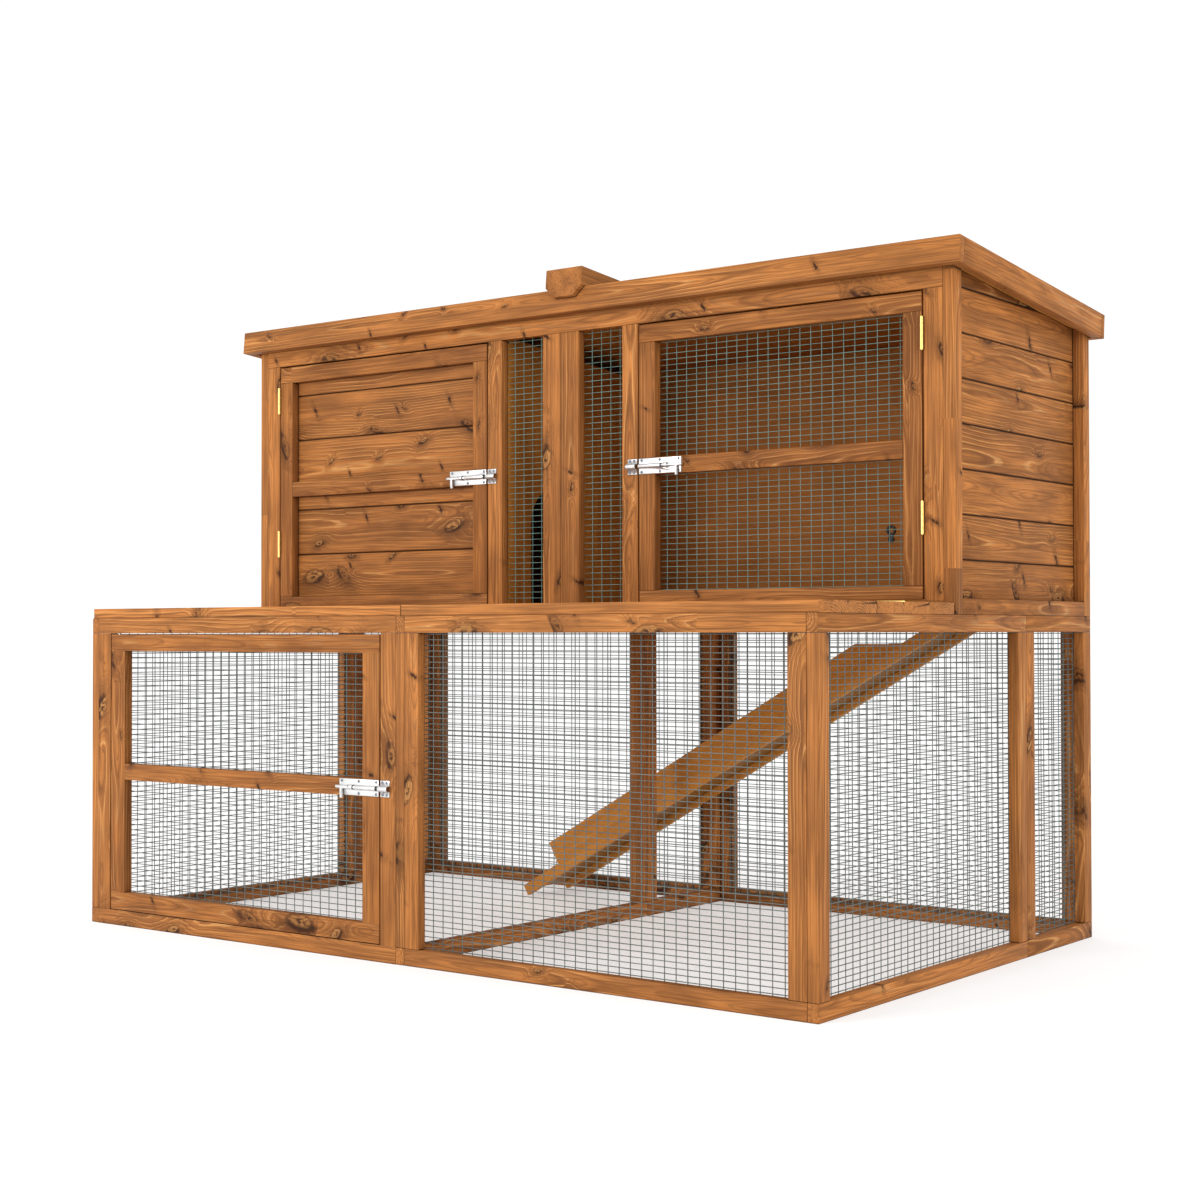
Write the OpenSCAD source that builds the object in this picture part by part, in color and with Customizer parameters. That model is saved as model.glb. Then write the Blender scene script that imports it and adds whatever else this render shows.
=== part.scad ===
// Outdoor rabbit run with a hutch standing over its rear part.
// Millimetres. X runs along the front, Y goes back and Z is up.
// The origin is on the ground, under the middle of the whole outline.

/* [Run] */
// Width of the run along the front
run_w = 1864; // [1700:1:2100]
// Depth of the run
run_d = 1120; // [1060:1:1250]
// Height of the run's panels
run_h = 673; // [600:1:760]
// Thickness of the timbers in the end walls and the divider
wall_t = 22; // [18:0.5:28]
// Thickness of the timbers in the front and back panels
panel_t = 20; // [16:0.5:26]
// Width of the panels' rails
rail_w = 33; // [28:0.5:42]
// Width of the panels' stiles
stile_w = 37; // [30:0.5:44]
// Width of the stiles beside the run door
jamb_w = 40; // [34:0.5:50]

/* [Run door] */
// Gap between the run door and its frame at the sides
run_door_gap = 4; // [4:0.5:7]
// Gap under the run door
run_door_foot_gap = 2; // [1:0.5:4]
// Gap over the run door
run_door_head_gap = 3; // [2:0.5:8]
// Width of the run door's stiles
run_door_stile_w = 45; // [40:0.5:56]
// Width of the run door's top rail
run_door_top_rail_w = 36; // [32:0.5:46]
// Width of the run door's bottom rail
run_door_bottom_rail_w = 38; // [32:0.5:46]
// Distance of the door's pivot pins from its hinge edge
pivot_inset = 16; // [15:0.5:20]
// Diameter of the pivot pins
pivot_pin_d = 6; // [5:0.5:8]
// Depth of the pivot pins in the frame
pivot_pin_depth = 16; // [10:0.5:22]
// Depth of the pivot pins' bores in the door
pivot_door_depth = 22; // [18:0.5:26]

/* [Lids] */
// Thickness of the lids over the front of the run
lid_t = 21; // [18:0.5:26]
// How far the lids' front edge stands back from the run's front
lid_set_back = 2; // [0:0.5:6]
// Gap between the two lids
lid_split_gap = 2; // [1:0.5:5]
// Width of the lid battens
lid_batten_w = 36; // [28:1:50]
// Thickness of the lid battens
lid_batten_t = 16; // [12:0.5:22]
// Distance of the outer lid battens from the walls
lid_batten_inset = 60; // [40:1:90]
// Room at the lid battens' ends
lid_batten_clear = 8; // [5:0.5:14]

/* [Hutch] */
// Distance of the hutch's front from the run's front
hutch_y = 497; // [440:1:540]
// How far the hutch's left side stands in from the run's left side
hutch_set_in = 6; // [0:0.5:14]
// Width of a corner post
post_w = 24; // [20:0.5:30]
// Depth of a corner post
post_d = 30; // [26:0.5:36]
// Thickness of the front and back timbers
frame_t = 20; // [16:0.5:24]
// Width of the stiles beside the doors
hutch_stile_w = 40; // [32:0.5:48]
// Width of each narrow mesh window
strip_w = 115; // [90:1:140]
// Width of the post between the mesh windows
centre_post_w = 98; // [80:1:120]
// Height of the front bottom rail
sill_h = 25; // [22:0.5:25.5]
// Height of the bottom rails of the sides and the back
base_rail_h = 30; // [26:0.5:40]
// Height of the back top rail
back_top_rail_h = 45; // [35:1:60]
// Width of the stile in the middle of the back
back_stile_w = 40; // [30:1:50]
// Height of the hutch doors
hutch_door_h = 577; // [540:1:590]
// Gap round the hutch doors
hutch_door_gap = 4; // [4:0.5:6]
// Thickness of the floor
floor_t = 12; // [9:0.5:15]
// Length of the ramp's hole in the floor
hole_l = 370; // [320:1:420]
// Room between the ramp and each long side of the hole
hole_side_room = 8; // [4:0.5:9]

/* [Boards] */
// Thickness of the matchboards
board_t = 10; // [8:0.5:13]
// Cover width of the matchboards in the walls
wall_board_h = 86; // [76:0.5:96]
// Cover width of the matchboards in the left door
door_board_h = 107; // [95:0.5:115]
// Cover width of the matchboards in the lids
lid_board_w = 97; // [85:0.5:110]
// Depth of the bevel along the boards' front edges
board_bevel = 3; // [2:0.25:3.5]
// Length of the boards' tongues
tongue_h = 4; // [2:0.25:6]
// Slack round a tongue in its groove
tongue_slack = 0.25; // [0.1:0.05:0.5]
// How far the wall boards lap behind the bottom rail
wall_board_lap = 12; // [8:0.5:16]
// How far the left door's boards lap behind its stiles and top rail
board_side_lap = 15; // [8:0.5:22]
// How far the left door's boards lap behind its bottom and middle rails
board_low_lap = 6; // [4:0.5:12]

/* [Hutch doors] */
// Width of the doors' stiles
door_stile_w = 40; // [34:0.5:48]
// Width of the doors' top rails
door_top_rail_w = 37; // [32:0.5:44]
// Width of the doors' bottom rails
door_bottom_rail_w = 25; // [22:0.5:34]
// Width of the middle rails, in the run door too
mid_rail_w = 35; // [34:0.5:42]

/* [Partition] */
// Thickness of the partition
partition_t = 12; // [9:0.5:15]
// Width of the pop hole
pop_w = 170; // [140:1:190]
// Height of the straight part of the pop hole's sides
pop_side_h = 182; // [150:1:220]
// Height of the sill under the pop hole
pop_sill_h = 15; // [8:0.5:30]
// Distance of the pop hole from the front timbers
pop_y = 82; // [60:1:110]
// Gap over the partition
partition_head_gap = 38; // [20:1:50]

/* [Roof] */
// Slope of the roof in degrees
roof_slope = 5.17; // [3:0.01:7]
// Overhang at the sides
roof_side_over = 27; // [24:0.5:40]
// Overhang at the front
roof_front_over = 30; // [26:0.5:45]
// Height of the front's top rail over the doors
head_rail_h = 49; // [40:1:80]
// Height of the fascia boards
fascia_h = 51; // [44:0.5:60]
// Thickness of the front and side fascia boards
fascia_t = 21; // [16:0.5:22]
// Thickness of the back fascia board
back_fascia_t = 16; // [12:0.5:22]
// Depth of the roof covering below the fascia's top edge
felt_drop = 20; // [14:0.5:26]
// Thickness of the felt
felt_t = 3; // [2:0.25:4]
// Thickness of the roof deck
deck_t = 12; // [9:0.5:14]
// Gap between the back fascia board and the hutch's back
roof_back_gap = 0.6; // [0.4:0.1:2]
// Width of the batten over the roof's joint
batten_w = 96; // [80:1:120]
// Distance of the batten's middle to the right of the roof's middle
batten_x = 40; // [0:1:80]
// Height of the batten over the fascia's top edge
batten_rise = 41; // [30:0.5:55]
// Length of the batten's nose in front of the fascia
batten_nose = 12; // [8:0.5:20]
// Chamfer of the batten's lower edges
batten_chamfer = 22; // [12:0.5:28]

/* [Ramp] */
// Slope of the ramp in degrees
ramp_slope = 29.8; // [27:0.1:33]
// Distance of the ramp's head from the run's right side
ramp_head_x = 213; // [180:1:260]
// Gap between the ramp and the divider's rear stile
ramp_stile_gap = 7; // [4:0.5:16]
// Gap between the ramp and the divider's other stile, in front of it
ramp_pass_w = 68; // [50:1:90]
// Width of the ramp
ramp_w = 168; // [150:1:185]
// Height of the ramp's side boards at the tread's level
ramp_edge_h = 26; // [22:0.5:32]
// Height of the side boards where they guard the tread
ramp_guard_h = 81; // [60:1:95]
// Length of the ramp's low end that has no guard
ramp_guard_start = 123; // [90:1:160]
// Height of the guards' level cut, below the run's top
ramp_guard_drop = 58; // [50:1:80]
// Thickness of the ramp's side boards
ramp_side_t = 15; // [12:0.5:18]
// Thickness of the ramp's tread
ramp_tread_t = 10; // [8:0.5:12]
// Spacing of the cleats across the tread
cleat_pitch = 110; // [80:1:160]
// Height and width of a cleat
cleat_size = 9; // [6:0.5:12]
// Distance of the lowest cleat from the tread's low end
cleat_start = 60; // [40:1:90]

/* [Wire mesh] */
// Thickness of a wire
wire_t = 1.8; // [1.2:0.1:2.2]
// Spacing of the upright wires
mesh_pitch_x = 98; // [80:1:130]
// Spacing of the level wires
mesh_pitch_z = 54; // [44:1:80]
// How far the mesh laps behind its frame
mesh_lap = 12; // [8:0.5:15]

/* [Hinges] */
// Length of the door hinges
door_hinge_l = 62; // [50:1:75]
// Distance of the upper hinges' middle from the doors' top
door_hinge_top = 79.5; // [60:0.5:100]
// Distance of the lower hinges' middle from the doors' bottom
door_hinge_bottom = 152; // [120:0.5:175]
// Length of the lid hinges
lid_hinge_l = 60; // [50:1:75]
// Distance of the lid hinges from the lid's ends
lid_hinge_inset = 132; // [100:1:170]
// Diameter of the hinges' knuckles
knuckle_d = 6; // [5.5:0.25:7]
// Diameter of the hinge pins
hinge_pin_d = 2.5; // [2:0.25:3]
// Length of a hinge pin past each end of the knuckles
hinge_pin_end = 1; // [0.5:0.25:2]
// Thickness of the hinge leaves
leaf_t = 1.2; // [1:0.1:1.4]
// Depth of the hinge leaves
leaf_d = 15; // [12:0.5:15.5]

/* [Bolts] */
// Length of the bolts' plates
bolt_plate_l = 106; // [100:1:120]
// Height of the bolts' plates and the keepers
bolt_plate_h = 32; // [30:0.5:34]
// Thickness of the plates
bolt_plate_t = 1.5; // [1:0.1:2]
// Diameter of the rods
rod_d = 7; // [6:0.25:7.5]
// Travel of the rods
rod_travel = 18; // [14:0.5:20]
// Thickness of the loops that hold the rods
loop_t = 1.5; // [1:0.1:2]
// Length of the short loop
short_loop_l = 10; // [8:0.5:12]
// Length of the long loop
long_loop_l = 55; // [50:0.5:57]
// Length of the rod behind the plate
rod_tail = 5; // [3:0.5:10]
// Chamfer of the rod's tip
rod_chamfer = 1.5; // [1:0.25:2]
// Distance of the drawn rod's tip from the plate's end
rod_tip_inset = 4.5; // [3:0.5:7]
// Distance of the long loop from the plate's end
long_loop_inset = 3; // [2:0.5:5]
// Distance of the handle from the plate's other end, when drawn
handle_inset = 9; // [6:0.5:12]
// Length of the handle below the rod's axis
handle_drop = 22; // [18:0.5:26]
// Width of the keepers
keeper_w = 24; // [20:0.5:28]
// Room round the rod in the keeper's loop
keeper_room = 1.1; // [0.8:0.1:1.4]

/* [Bottle hook] */
// Outer diameter of the hook's ring
hook_ring_d = 22; // [16:0.5:28]
// Height of the hook from its foot to the ring's top
hook_h = 38; // [30:1:50]
// Thickness of the ring
hook_t = 4; // [3:0.5:5]
// Width of the stem
hook_stem_w = 6; // [5:0.5:9]
// Diameter of the foot
hook_foot_d = 14; // [12:0.5:18]
// Distance of the hook from the run's right side
hook_x = 454; // [380:1:520]
// Height of the hook's middle over the run's top
hook_rise = 187; // [150:1:230]

/* [Hidden] */

$fn = 48;
// Running clearance of pins and rods, on the radius
fit = 0.08;
// Room between moving flat or curved faces
room = 0.3;
// Joint line between two timbers of one frame
seam = 0.1;
// Amount by which a cutter passes through a face
cut = 1;

STAIN = "peru";
STAIN_DARK = "sienna";
PLY = "burlywood";
WIRE = "lightslategray";
BRASS = "gold";
ZINC = "gainsboro";
FELT = "dimgray";
BLACK = "black";

// Hutch and run across X
hutch_w = run_w - hutch_set_in;
hutch_x0 = -hutch_w / 2;
run_x1 = hutch_w / 2;
run_x0 = run_x1 - run_w;
bay_w = (run_w - 3 * wall_t) / 2;
divider_x = run_x0 + wall_t + bay_w;
left_bay_x = run_x0 + wall_t;
right_bay_x = divider_x + wall_t;

// Everything along Y is measured from the run's front
rod_r = rod_d / 2;
rod_axis_y = bolt_plate_t + rod_r + room;
keeper_bore_r = rod_r + keeper_room;
bolt_proud = rod_axis_y + keeper_bore_r + loop_t;
roof_y = hutch_y - roof_front_over;
roof_back_over = back_fascia_t * cos(roof_slope) + fascia_h * sin(roof_slope) + roof_back_gap;
roof_d = (run_d + roof_back_over - roof_y) / cos(roof_slope);
roof_back_reach = (roof_d + batten_nose) * cos(roof_slope) + batten_rise * sin(roof_slope);
run_y0 = (bolt_proud - roof_y - roof_back_reach) / 2;
run_y1 = run_y0 + run_d;
hutch_y0 = run_y0 + hutch_y;
hutch_inner_y0 = hutch_y0 + frame_t;
hutch_inner_y1 = run_y1 - frame_t - board_t;

// Two layers of wires, with a joint line between them
mesh_t = 2 * wire_t + seam;

// Levels
run_clear_top = run_h - rail_w;
floor_top = run_h + floor_t;
lid_top = run_h + lid_t;
sill_top = run_h + sill_h;
door_z0 = sill_top + hutch_door_gap;
door_z1 = door_z0 + hutch_door_h;
head_z = door_z1 + hutch_door_gap;
deck_top = -felt_drop - felt_t;
deck_bottom = deck_top - deck_t;
roof_z = head_z + head_rail_h + roof_front_over * tan(roof_slope) - deck_bottom / cos(roof_slope);
tall = roof_z - run_h;
// Height of the deck's underside at the distance y from the run's front
function deck_z_at(y) = roof_z - (y - roof_y) * tan(roof_slope) + deck_bottom / cos(roof_slope);

// Hutch front, from the left
hutch_door_w = (hutch_w - 2 * post_w - 4 * hutch_stile_w - 2 * strip_w
  - centre_post_w - 4 * hutch_door_gap) / 2;
left_door_x = hutch_x0 + post_w + hutch_stile_w + hutch_door_gap;
left_strip_x = left_door_x + hutch_door_w + hutch_door_gap + hutch_stile_w;
right_strip_x = -left_strip_x - strip_w;
right_door_x = -left_door_x - hutch_door_w;

// Hinges: the axis stands this far in front of the timber's face
knuckle_r = knuckle_d / 2;
hinge_pin_r = hinge_pin_d / 2;
axis_out = knuckle_r + room;
lid_gap = 2 * axis_out;
lid_axis_y = hutch_y0 - axis_out;
lid_axis_z = lid_top + axis_out;
door_axis_y = hutch_y0 - axis_out;
left_axis_x = left_door_x - hutch_door_gap / 2;
right_axis_x = -left_axis_x;
door_mid_z = (door_z0 + door_z1) / 2;
hinge_knuckles = 5;

// Lids
lid_y0 = run_y0 + lid_set_back;
lid_d = hutch_y0 - lid_gap - lid_y0;
lid_mid_x = divider_x + wall_t / 2;
left_lid_x = run_x0 + lid_set_back;
left_lid_w = lid_mid_x - lid_split_gap / 2 - left_lid_x;
right_lid_x = lid_mid_x + lid_split_gap / 2;
right_lid_w = run_x1 - right_lid_x;

// Run door
run_door_x = left_bay_x + jamb_w + run_door_gap;
run_door_w = bay_w - 2 * (jamb_w + run_door_gap);
run_door_z = rail_w + run_door_foot_gap;
run_door_h = run_clear_top - run_door_head_gap - run_door_z;
pivot_x = run_door_x + pivot_inset;
pivot_y = run_y0 + panel_t / 2;
pivot_pin_r = pivot_pin_d / 2;

// Bolts
plate_gap = 0.5;
handle_r = rod_r;
handle_x = -bolt_plate_l / 2 + handle_inset;
short_loop_x = handle_x + handle_r + rod_travel + room;
long_loop_x = bolt_plate_l / 2 - long_loop_inset - long_loop_l;
rod_tip_x = bolt_plate_l / 2 - rod_tip_inset;
bolt_z = door_mid_z + (door_bottom_rail_w - door_top_rail_w) / 2;
run_bolt_z = run_door_z + (run_door_h + run_door_bottom_rail_w - run_door_top_rail_w) / 2;
left_bolt_x = left_door_x + hutch_door_w - plate_gap - bolt_plate_l / 2;
run_bolt_x = run_door_x + run_door_w - plate_gap - bolt_plate_l / 2;

// Ramp
hole_x1 = run_x1 - ramp_head_x;
hole_x0 = hole_x1 - hole_l;
ramp_y0 = run_y1 - stile_w - ramp_stile_gap - ramp_w;
front_panel_d = run_d - 2 * stile_w - ramp_stile_gap - ramp_w - ramp_pass_w;
ramp_run = (floor_top * cos(ramp_slope) - ramp_edge_h) / sin(ramp_slope);
ramp_x0 = hole_x1 - ramp_run;

// Partition
partition_x = left_strip_x - partition_t;
pop_r = pop_w / 2;

// A point on the ramp: s along the slope, h square to it
function ramp_at(s, h) = [
  ramp_x0 + s * cos(ramp_slope) - h * sin(ramp_slope),
  s * sin(ramp_slope) + h * cos(ramp_slope)
];
// Distance along the ramp where a line at height h reaches the level z
function ramp_reach(z, h) = (z - h * cos(ramp_slope)) / sin(ramp_slope);

// A box from its low corner and its size
module box(at, size) {
  translate(at) cube(size);
}

// Puts its children in the roof's plane: Y down the slope, Z square to it
module on_roof() {
  translate([0, run_y0 + roof_y, roof_z]) rotate([-roof_slope, 0, 0]) children();
}

// Keeps what is under the roof deck
module under_roof() {
  reach = 2 * run_w;
  intersection() {
    children();
    on_roof() box([-reach / 2, -reach / 2, deck_bottom - reach], [reach, reach, reach]);
  }
}

// A panel frame standing in the XZ plane: two rails over the whole width, two stiles between,
// and a third rail between the stiles where mid_z sets its middle
module frame_xz(w, h, t, stile, rail_low, rail_high, mid_z = 0) {
  box([0, 0, 0], [w, t, rail_low]);
  box([0, 0, h - rail_high], [w, t, rail_high]);
  for (x = [0, w - stile]) {
    box([x, 0, rail_low + seam], [stile, t, h - rail_low - rail_high - 2 * seam]);
  }
  if (mid_z > 0) {
    box([stile + seam, 0, mid_z - mid_rail_w / 2], [w - 2 * (stile + seam), t, mid_rail_w]);
  }
}

// A panel of an end wall, standing in the YZ plane
module wall_panel(x, y, d) {
  translate([x + wall_t, y, 0]) rotate([0, 0, 90])
    frame_xz(d, run_h, wall_t, stile_w, rail_w, rail_w);
}

// Welded wire mesh standing in the XZ plane: level wires, and upright wires behind them
module mesh_xz(w, h) {
  nx = max(1, round(w / mesh_pitch_x));
  nz = max(1, round(h / mesh_pitch_z));
  for (k = [0 : nz]) {
    box([0, 0, k * (h - wire_t) / nz], [w, wire_t, wire_t]);
  }
  for (i = [0 : nx]) {
    box([i * (w - wire_t) / nx, wire_t + seam, 0], [wire_t, wire_t, h]);
  }
}

// Mesh over a window, lapping behind the frame on each side
module window_mesh(x, y, z, w, h) {
  translate([x - mesh_lap, y, z - mesh_lap]) mesh_xz(w + 2 * mesh_lap, h + 2 * mesh_lap);
}

// Mesh over a window of an end wall, on the side that faces x
module wall_mesh(x, y, d) {
  translate([x + mesh_t, y + stile_w - mesh_lap, rail_w - mesh_lap]) rotate([0, 0, 90])
    mesh_xz(d - 2 * (stile_w - mesh_lap), run_clear_top - rail_w + 2 * mesh_lap);
}

// Section of a matchboard: its face toward -Y, its tongue up, its groove below.
// An edge that meets no other board stays plain.
module board_section(cover, t, low_joint, high_joint) {
  low_bevel = low_joint ? board_bevel : 0;
  high_bevel = high_joint ? board_bevel : 0;
  difference() {
    union() {
      polygon([
        [low_bevel, 0], [0, low_bevel], [0, t],
        [cover, t], [cover, high_bevel], [cover - high_bevel, 0]
      ]);
      if (high_joint) {
        translate([cover - cut, t / 3 + tongue_slack])
          square([tongue_h - tongue_slack + cut, t / 3 - 2 * tongue_slack]);
      }
    }
    if (low_joint) {
      translate([-cut, t / 3]) square([tongue_h + cut, t / 3]);
    }
  }
}

// Boards of length l laid upward to the height h, the last one ripped to fit
module matchboards(l, h, cover, t) {
  n = ceil(h / cover);
  intersection() {
    for (i = [0 : n - 1]) {
      translate([0, 0, i * cover]) rotate([0, -90, 0]) mirror([0, 0, 1])
        linear_extrude(l) board_section(cover, t, i > 0, i < n - 1);
    }
    box([0, 0, 0], [l, t, h]);
  }
}

// ---- Hinges and bolts ----

// One leaf of a butt hinge with its axis on Z, on the side of +X.
// Its timber's face lies at x = gap / 2, and the barrel stands out toward -Y.
module hinge_leaf(l, gap, first) {
  step = l / hinge_knuckles;
  difference() {
    union() {
      box([gap / 2 - leaf_t, axis_out, -l / 2], [leaf_t, leaf_d, l]);
      for (i = [first : 2 : hinge_knuckles - 1]) {
        translate([0, 0, -l / 2 + i * step + room / 2]) {
          cylinder(r = knuckle_r, h = step - room);
          box([gap / 2 - leaf_t, hinge_pin_r + room, 0],
            [leaf_t, axis_out - hinge_pin_r, step - room]);
          box([0, hinge_pin_r + room, 0],
            [gap / 2, knuckle_r - hinge_pin_r - room, step - room]);
        }
      }
    }
    translate([0, 0, -l]) cylinder(r = hinge_pin_r + fit, h = 2 * l);
  }
}

module hinge_pin(l) {
  translate([0, 0, -l / 2 - hinge_pin_end]) cylinder(r = hinge_pin_r, h = l + 2 * hinge_pin_end);
}

// Places its children at the hinges of a hutch door
module at_door_hinges(x) {
  for (z = [door_z0 + door_hinge_bottom, door_z1 - door_hinge_top]) {
    translate([x, door_axis_y, z]) children();
  }
}

// Places its children at the hinges of a lid: the hinge's -Y up, its +X toward the hutch
module at_lid_hinges(x, w) {
  for (at = [x + lid_hinge_inset, x + w - lid_hinge_inset]) {
    translate([at, lid_axis_y, lid_axis_z]) rotate([-90, 0, 90]) children();
  }
}

// A pressed loop along X that stands on a plate and leaves a bore of radius r
module rod_loop(x, l, r) {
  outer = r + loop_t;
  leg = rod_axis_y - bolt_plate_t;
  translate([x, -rod_axis_y, 0]) rotate([0, 90, 0]) difference() {
    union() {
      intersection() {
        cylinder(r = outer, h = l);
        box([-outer, -outer, 0], [2 * outer, outer + leg, l]);
      }
      box([-outer, 0, 0], [2 * outer, leg, l]);
    }
    translate([0, 0, -cut]) cylinder(r = r, h = l + 2 * cut);
    box([-r, 0, -cut], [2 * r, rod_axis_y, l + 2 * cut]);
  }
}

// A bolt's plate with its two loops: the middle of its back at the origin, its rod toward +X
module bolt_plate() {
  box([-bolt_plate_l / 2, -bolt_plate_t, -bolt_plate_h / 2],
    [bolt_plate_l, bolt_plate_t, bolt_plate_h]);
  rod_loop(short_loop_x, short_loop_l, rod_r + fit);
  rod_loop(long_loop_x, long_loop_l, rod_r + fit);
}

// The rod with its handle, drawn back
module bolt_rod() {
  tail_x = -bolt_plate_l / 2 - rod_tail;
  translate([0, -rod_axis_y, 0]) {
    translate([tail_x, 0, 0]) rotate([0, 90, 0])
      cylinder(r = rod_r, h = rod_tip_x - tail_x - rod_chamfer);
    translate([rod_tip_x - rod_chamfer, 0, 0]) rotate([0, 90, 0])
      cylinder(r1 = rod_r, r2 = rod_r - rod_chamfer, h = rod_chamfer);
    translate([handle_x, 0, -handle_drop]) cylinder(r = handle_r, h = handle_drop);
  }
}

// The keeper's plate and loop, with the plate's near end at x = 0
module bolt_keeper() {
  flange_h = bolt_plate_h / 2 - keeper_bore_r;
  for (z = [-bolt_plate_h / 2, keeper_bore_r]) {
    box([0, -bolt_plate_t, z], [keeper_w, bolt_plate_t, flange_h]);
  }
  rod_loop(0, keeper_w, keeper_bore_r);
}

// Places its children at the three bolts; the right one is turned round
module at_left_bolt() { translate([left_bolt_x, hutch_y0, bolt_z]) children(); }
module at_right_bolt() { mirror([1, 0, 0]) at_left_bolt() children(); }
module at_run_bolt() { translate([run_bolt_x, run_y0, run_bolt_z]) children(); }

// ---- Run ----

module run_left_front_panel() {
  color(STAIN) wall_panel(run_x0, run_y0, front_panel_d);
}

module run_left_rear_panel() {
  color(STAIN) wall_panel(run_x0, run_y0 + front_panel_d, run_d - front_panel_d);
}

module run_divider_front_panel() {
  color(STAIN) wall_panel(divider_x, run_y0, front_panel_d);
}

module run_divider_rear_panel() {
  color(STAIN) wall_panel(divider_x, run_y0 + front_panel_d, run_d - front_panel_d);
}

module run_right_front_panel() {
  color(STAIN) wall_panel(run_x1 - wall_t, run_y0, front_panel_d);
}

module run_right_rear_panel() {
  color(STAIN) wall_panel(run_x1 - wall_t, run_y0 + front_panel_d, run_d - front_panel_d);
}

module run_back_panels() {
  color(STAIN) for (x = [left_bay_x, right_bay_x]) {
    translate([x, run_y1 - panel_t, 0])
      frame_xz(bay_w, run_h, panel_t, stile_w, rail_w, rail_w);
  }
}

module run_front_mesh_panel() {
  color(STAIN) translate([right_bay_x, run_y0, 0])
    frame_xz(bay_w, run_h, panel_t, stile_w, rail_w, rail_w);
}

// The bores take the run door's pivot pins
module run_door_surround() {
  color(STAIN) difference() {
    translate([left_bay_x, run_y0, 0])
      frame_xz(bay_w, run_h, panel_t, jamb_w, rail_w, rail_w);
    for (z = [rail_w - pivot_pin_depth, run_clear_top - cut]) {
      translate([pivot_x, pivot_y, z])
        cylinder(r = pivot_pin_r + fit, h = pivot_pin_depth + cut);
    }
  }
}

module run_left_wall_mesh() {
  color(WIRE) {
    wall_mesh(run_x0 + wall_t, run_y0, front_panel_d);
    wall_mesh(run_x0 + wall_t, run_y0 + front_panel_d, run_d - front_panel_d);
  }
}

module run_right_wall_mesh() {
  color(WIRE) {
    wall_mesh(run_x1 - wall_t - mesh_t, run_y0, front_panel_d);
    wall_mesh(run_x1 - wall_t - mesh_t, run_y0 + front_panel_d, run_d - front_panel_d);
  }
}

module run_back_mesh() {
  color(WIRE) for (x = [left_bay_x, right_bay_x]) {
    window_mesh(x + stile_w, run_y1 - panel_t - mesh_t, rail_w,
      bay_w - 2 * stile_w, run_clear_top - rail_w);
  }
}

module run_front_mesh() {
  color(WIRE) window_mesh(right_bay_x + stile_w, run_y0 + panel_t, rail_w,
    bay_w - 2 * stile_w, run_clear_top - rail_w);
}

module run_door_frame() {
  color(STAIN_DARK) difference() {
    translate([run_door_x, run_y0, run_door_z])
      frame_xz(run_door_w, run_door_h, panel_t, run_door_stile_w,
        run_door_bottom_rail_w, run_door_top_rail_w, run_bolt_z - run_door_z);
    for (z = [run_door_z - cut, run_door_z + run_door_h - pivot_door_depth]) {
      translate([pivot_x, pivot_y, z])
        cylinder(r = pivot_pin_r + fit, h = pivot_door_depth + cut);
    }
  }
}

module run_door_mesh() {
  low_z = run_door_z + run_door_bottom_rail_w;
  window_h = run_bolt_z - mid_rail_w / 2 - low_z;
  color(WIRE) for (z = [low_z, run_bolt_z + mid_rail_w / 2]) {
    window_mesh(run_door_x + run_door_stile_w, run_y0 + panel_t, z,
      run_door_w - 2 * run_door_stile_w, window_h);
  }
}

module run_door_pivot_pins() {
  door_hold = pivot_door_depth - 2;
  color(ZINC) {
    translate([pivot_x, pivot_y, rail_w - pivot_pin_depth])
      cylinder(r = pivot_pin_r, h = pivot_pin_depth + run_door_foot_gap + door_hold);
    translate([pivot_x, pivot_y, run_clear_top - run_door_head_gap - door_hold])
      cylinder(r = pivot_pin_r, h = pivot_pin_depth + run_door_head_gap + door_hold - cut);
  }
}

// ---- Lids ----

// Boards along X that share the lid's depth, their faces up
module lid_boards(x, w) {
  cover = lid_d / round(lid_d / lid_board_w);
  color(STAIN) translate([x, lid_y0, lid_top]) rotate([-90, 0, 0])
    matchboards(w, lid_d, cover, lid_t);
}

// Three battens under a lid, clear of the panels that it rests on
module lid_battens(x0, x1) {
  low_x = x0 + lid_batten_inset;
  high_x = x1 - lid_batten_inset - lid_batten_w;
  y0 = run_y0 + panel_t + mesh_t + lid_batten_clear;
  y1 = lid_y0 + lid_d - lid_batten_clear;
  color(STAIN) for (x = [low_x, (low_x + high_x) / 2, high_x]) {
    box([x, y0, run_h - lid_batten_t], [lid_batten_w, y1 - y0, lid_batten_t]);
  }
}

module left_lid_boards() { lid_boards(left_lid_x, left_lid_w); }
module right_lid_boards() { lid_boards(right_lid_x, right_lid_w); }
module left_lid_battens() { lid_battens(left_bay_x, divider_x); }
module right_lid_battens() { lid_battens(right_bay_x, run_x1 - wall_t); }

module left_lid_hinge_leaves() {
  color(BRASS) at_lid_hinges(left_lid_x, left_lid_w) mirror([1, 0, 0]) hinge_leaf(lid_hinge_l, lid_gap, 1);
}

module right_lid_hinge_leaves() {
  color(BRASS) at_lid_hinges(right_lid_x, right_lid_w) mirror([1, 0, 0]) hinge_leaf(lid_hinge_l, lid_gap, 1);
}

module lid_hinge_fixed_leaves() {
  color(BRASS) {
    at_lid_hinges(left_lid_x, left_lid_w) hinge_leaf(lid_hinge_l, lid_gap, 0);
    at_lid_hinges(right_lid_x, right_lid_w) hinge_leaf(lid_hinge_l, lid_gap, 0);
  }
}

// ---- Hutch ----

module hutch_corner_posts() {
  color(STAIN_DARK) under_roof() {
    for (x = [hutch_x0, -hutch_x0 - post_w], y = [hutch_y0, run_y1 - post_d]) {
      box([x, y, run_h], [post_w, post_d, tall]);
    }
  }
}

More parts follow.
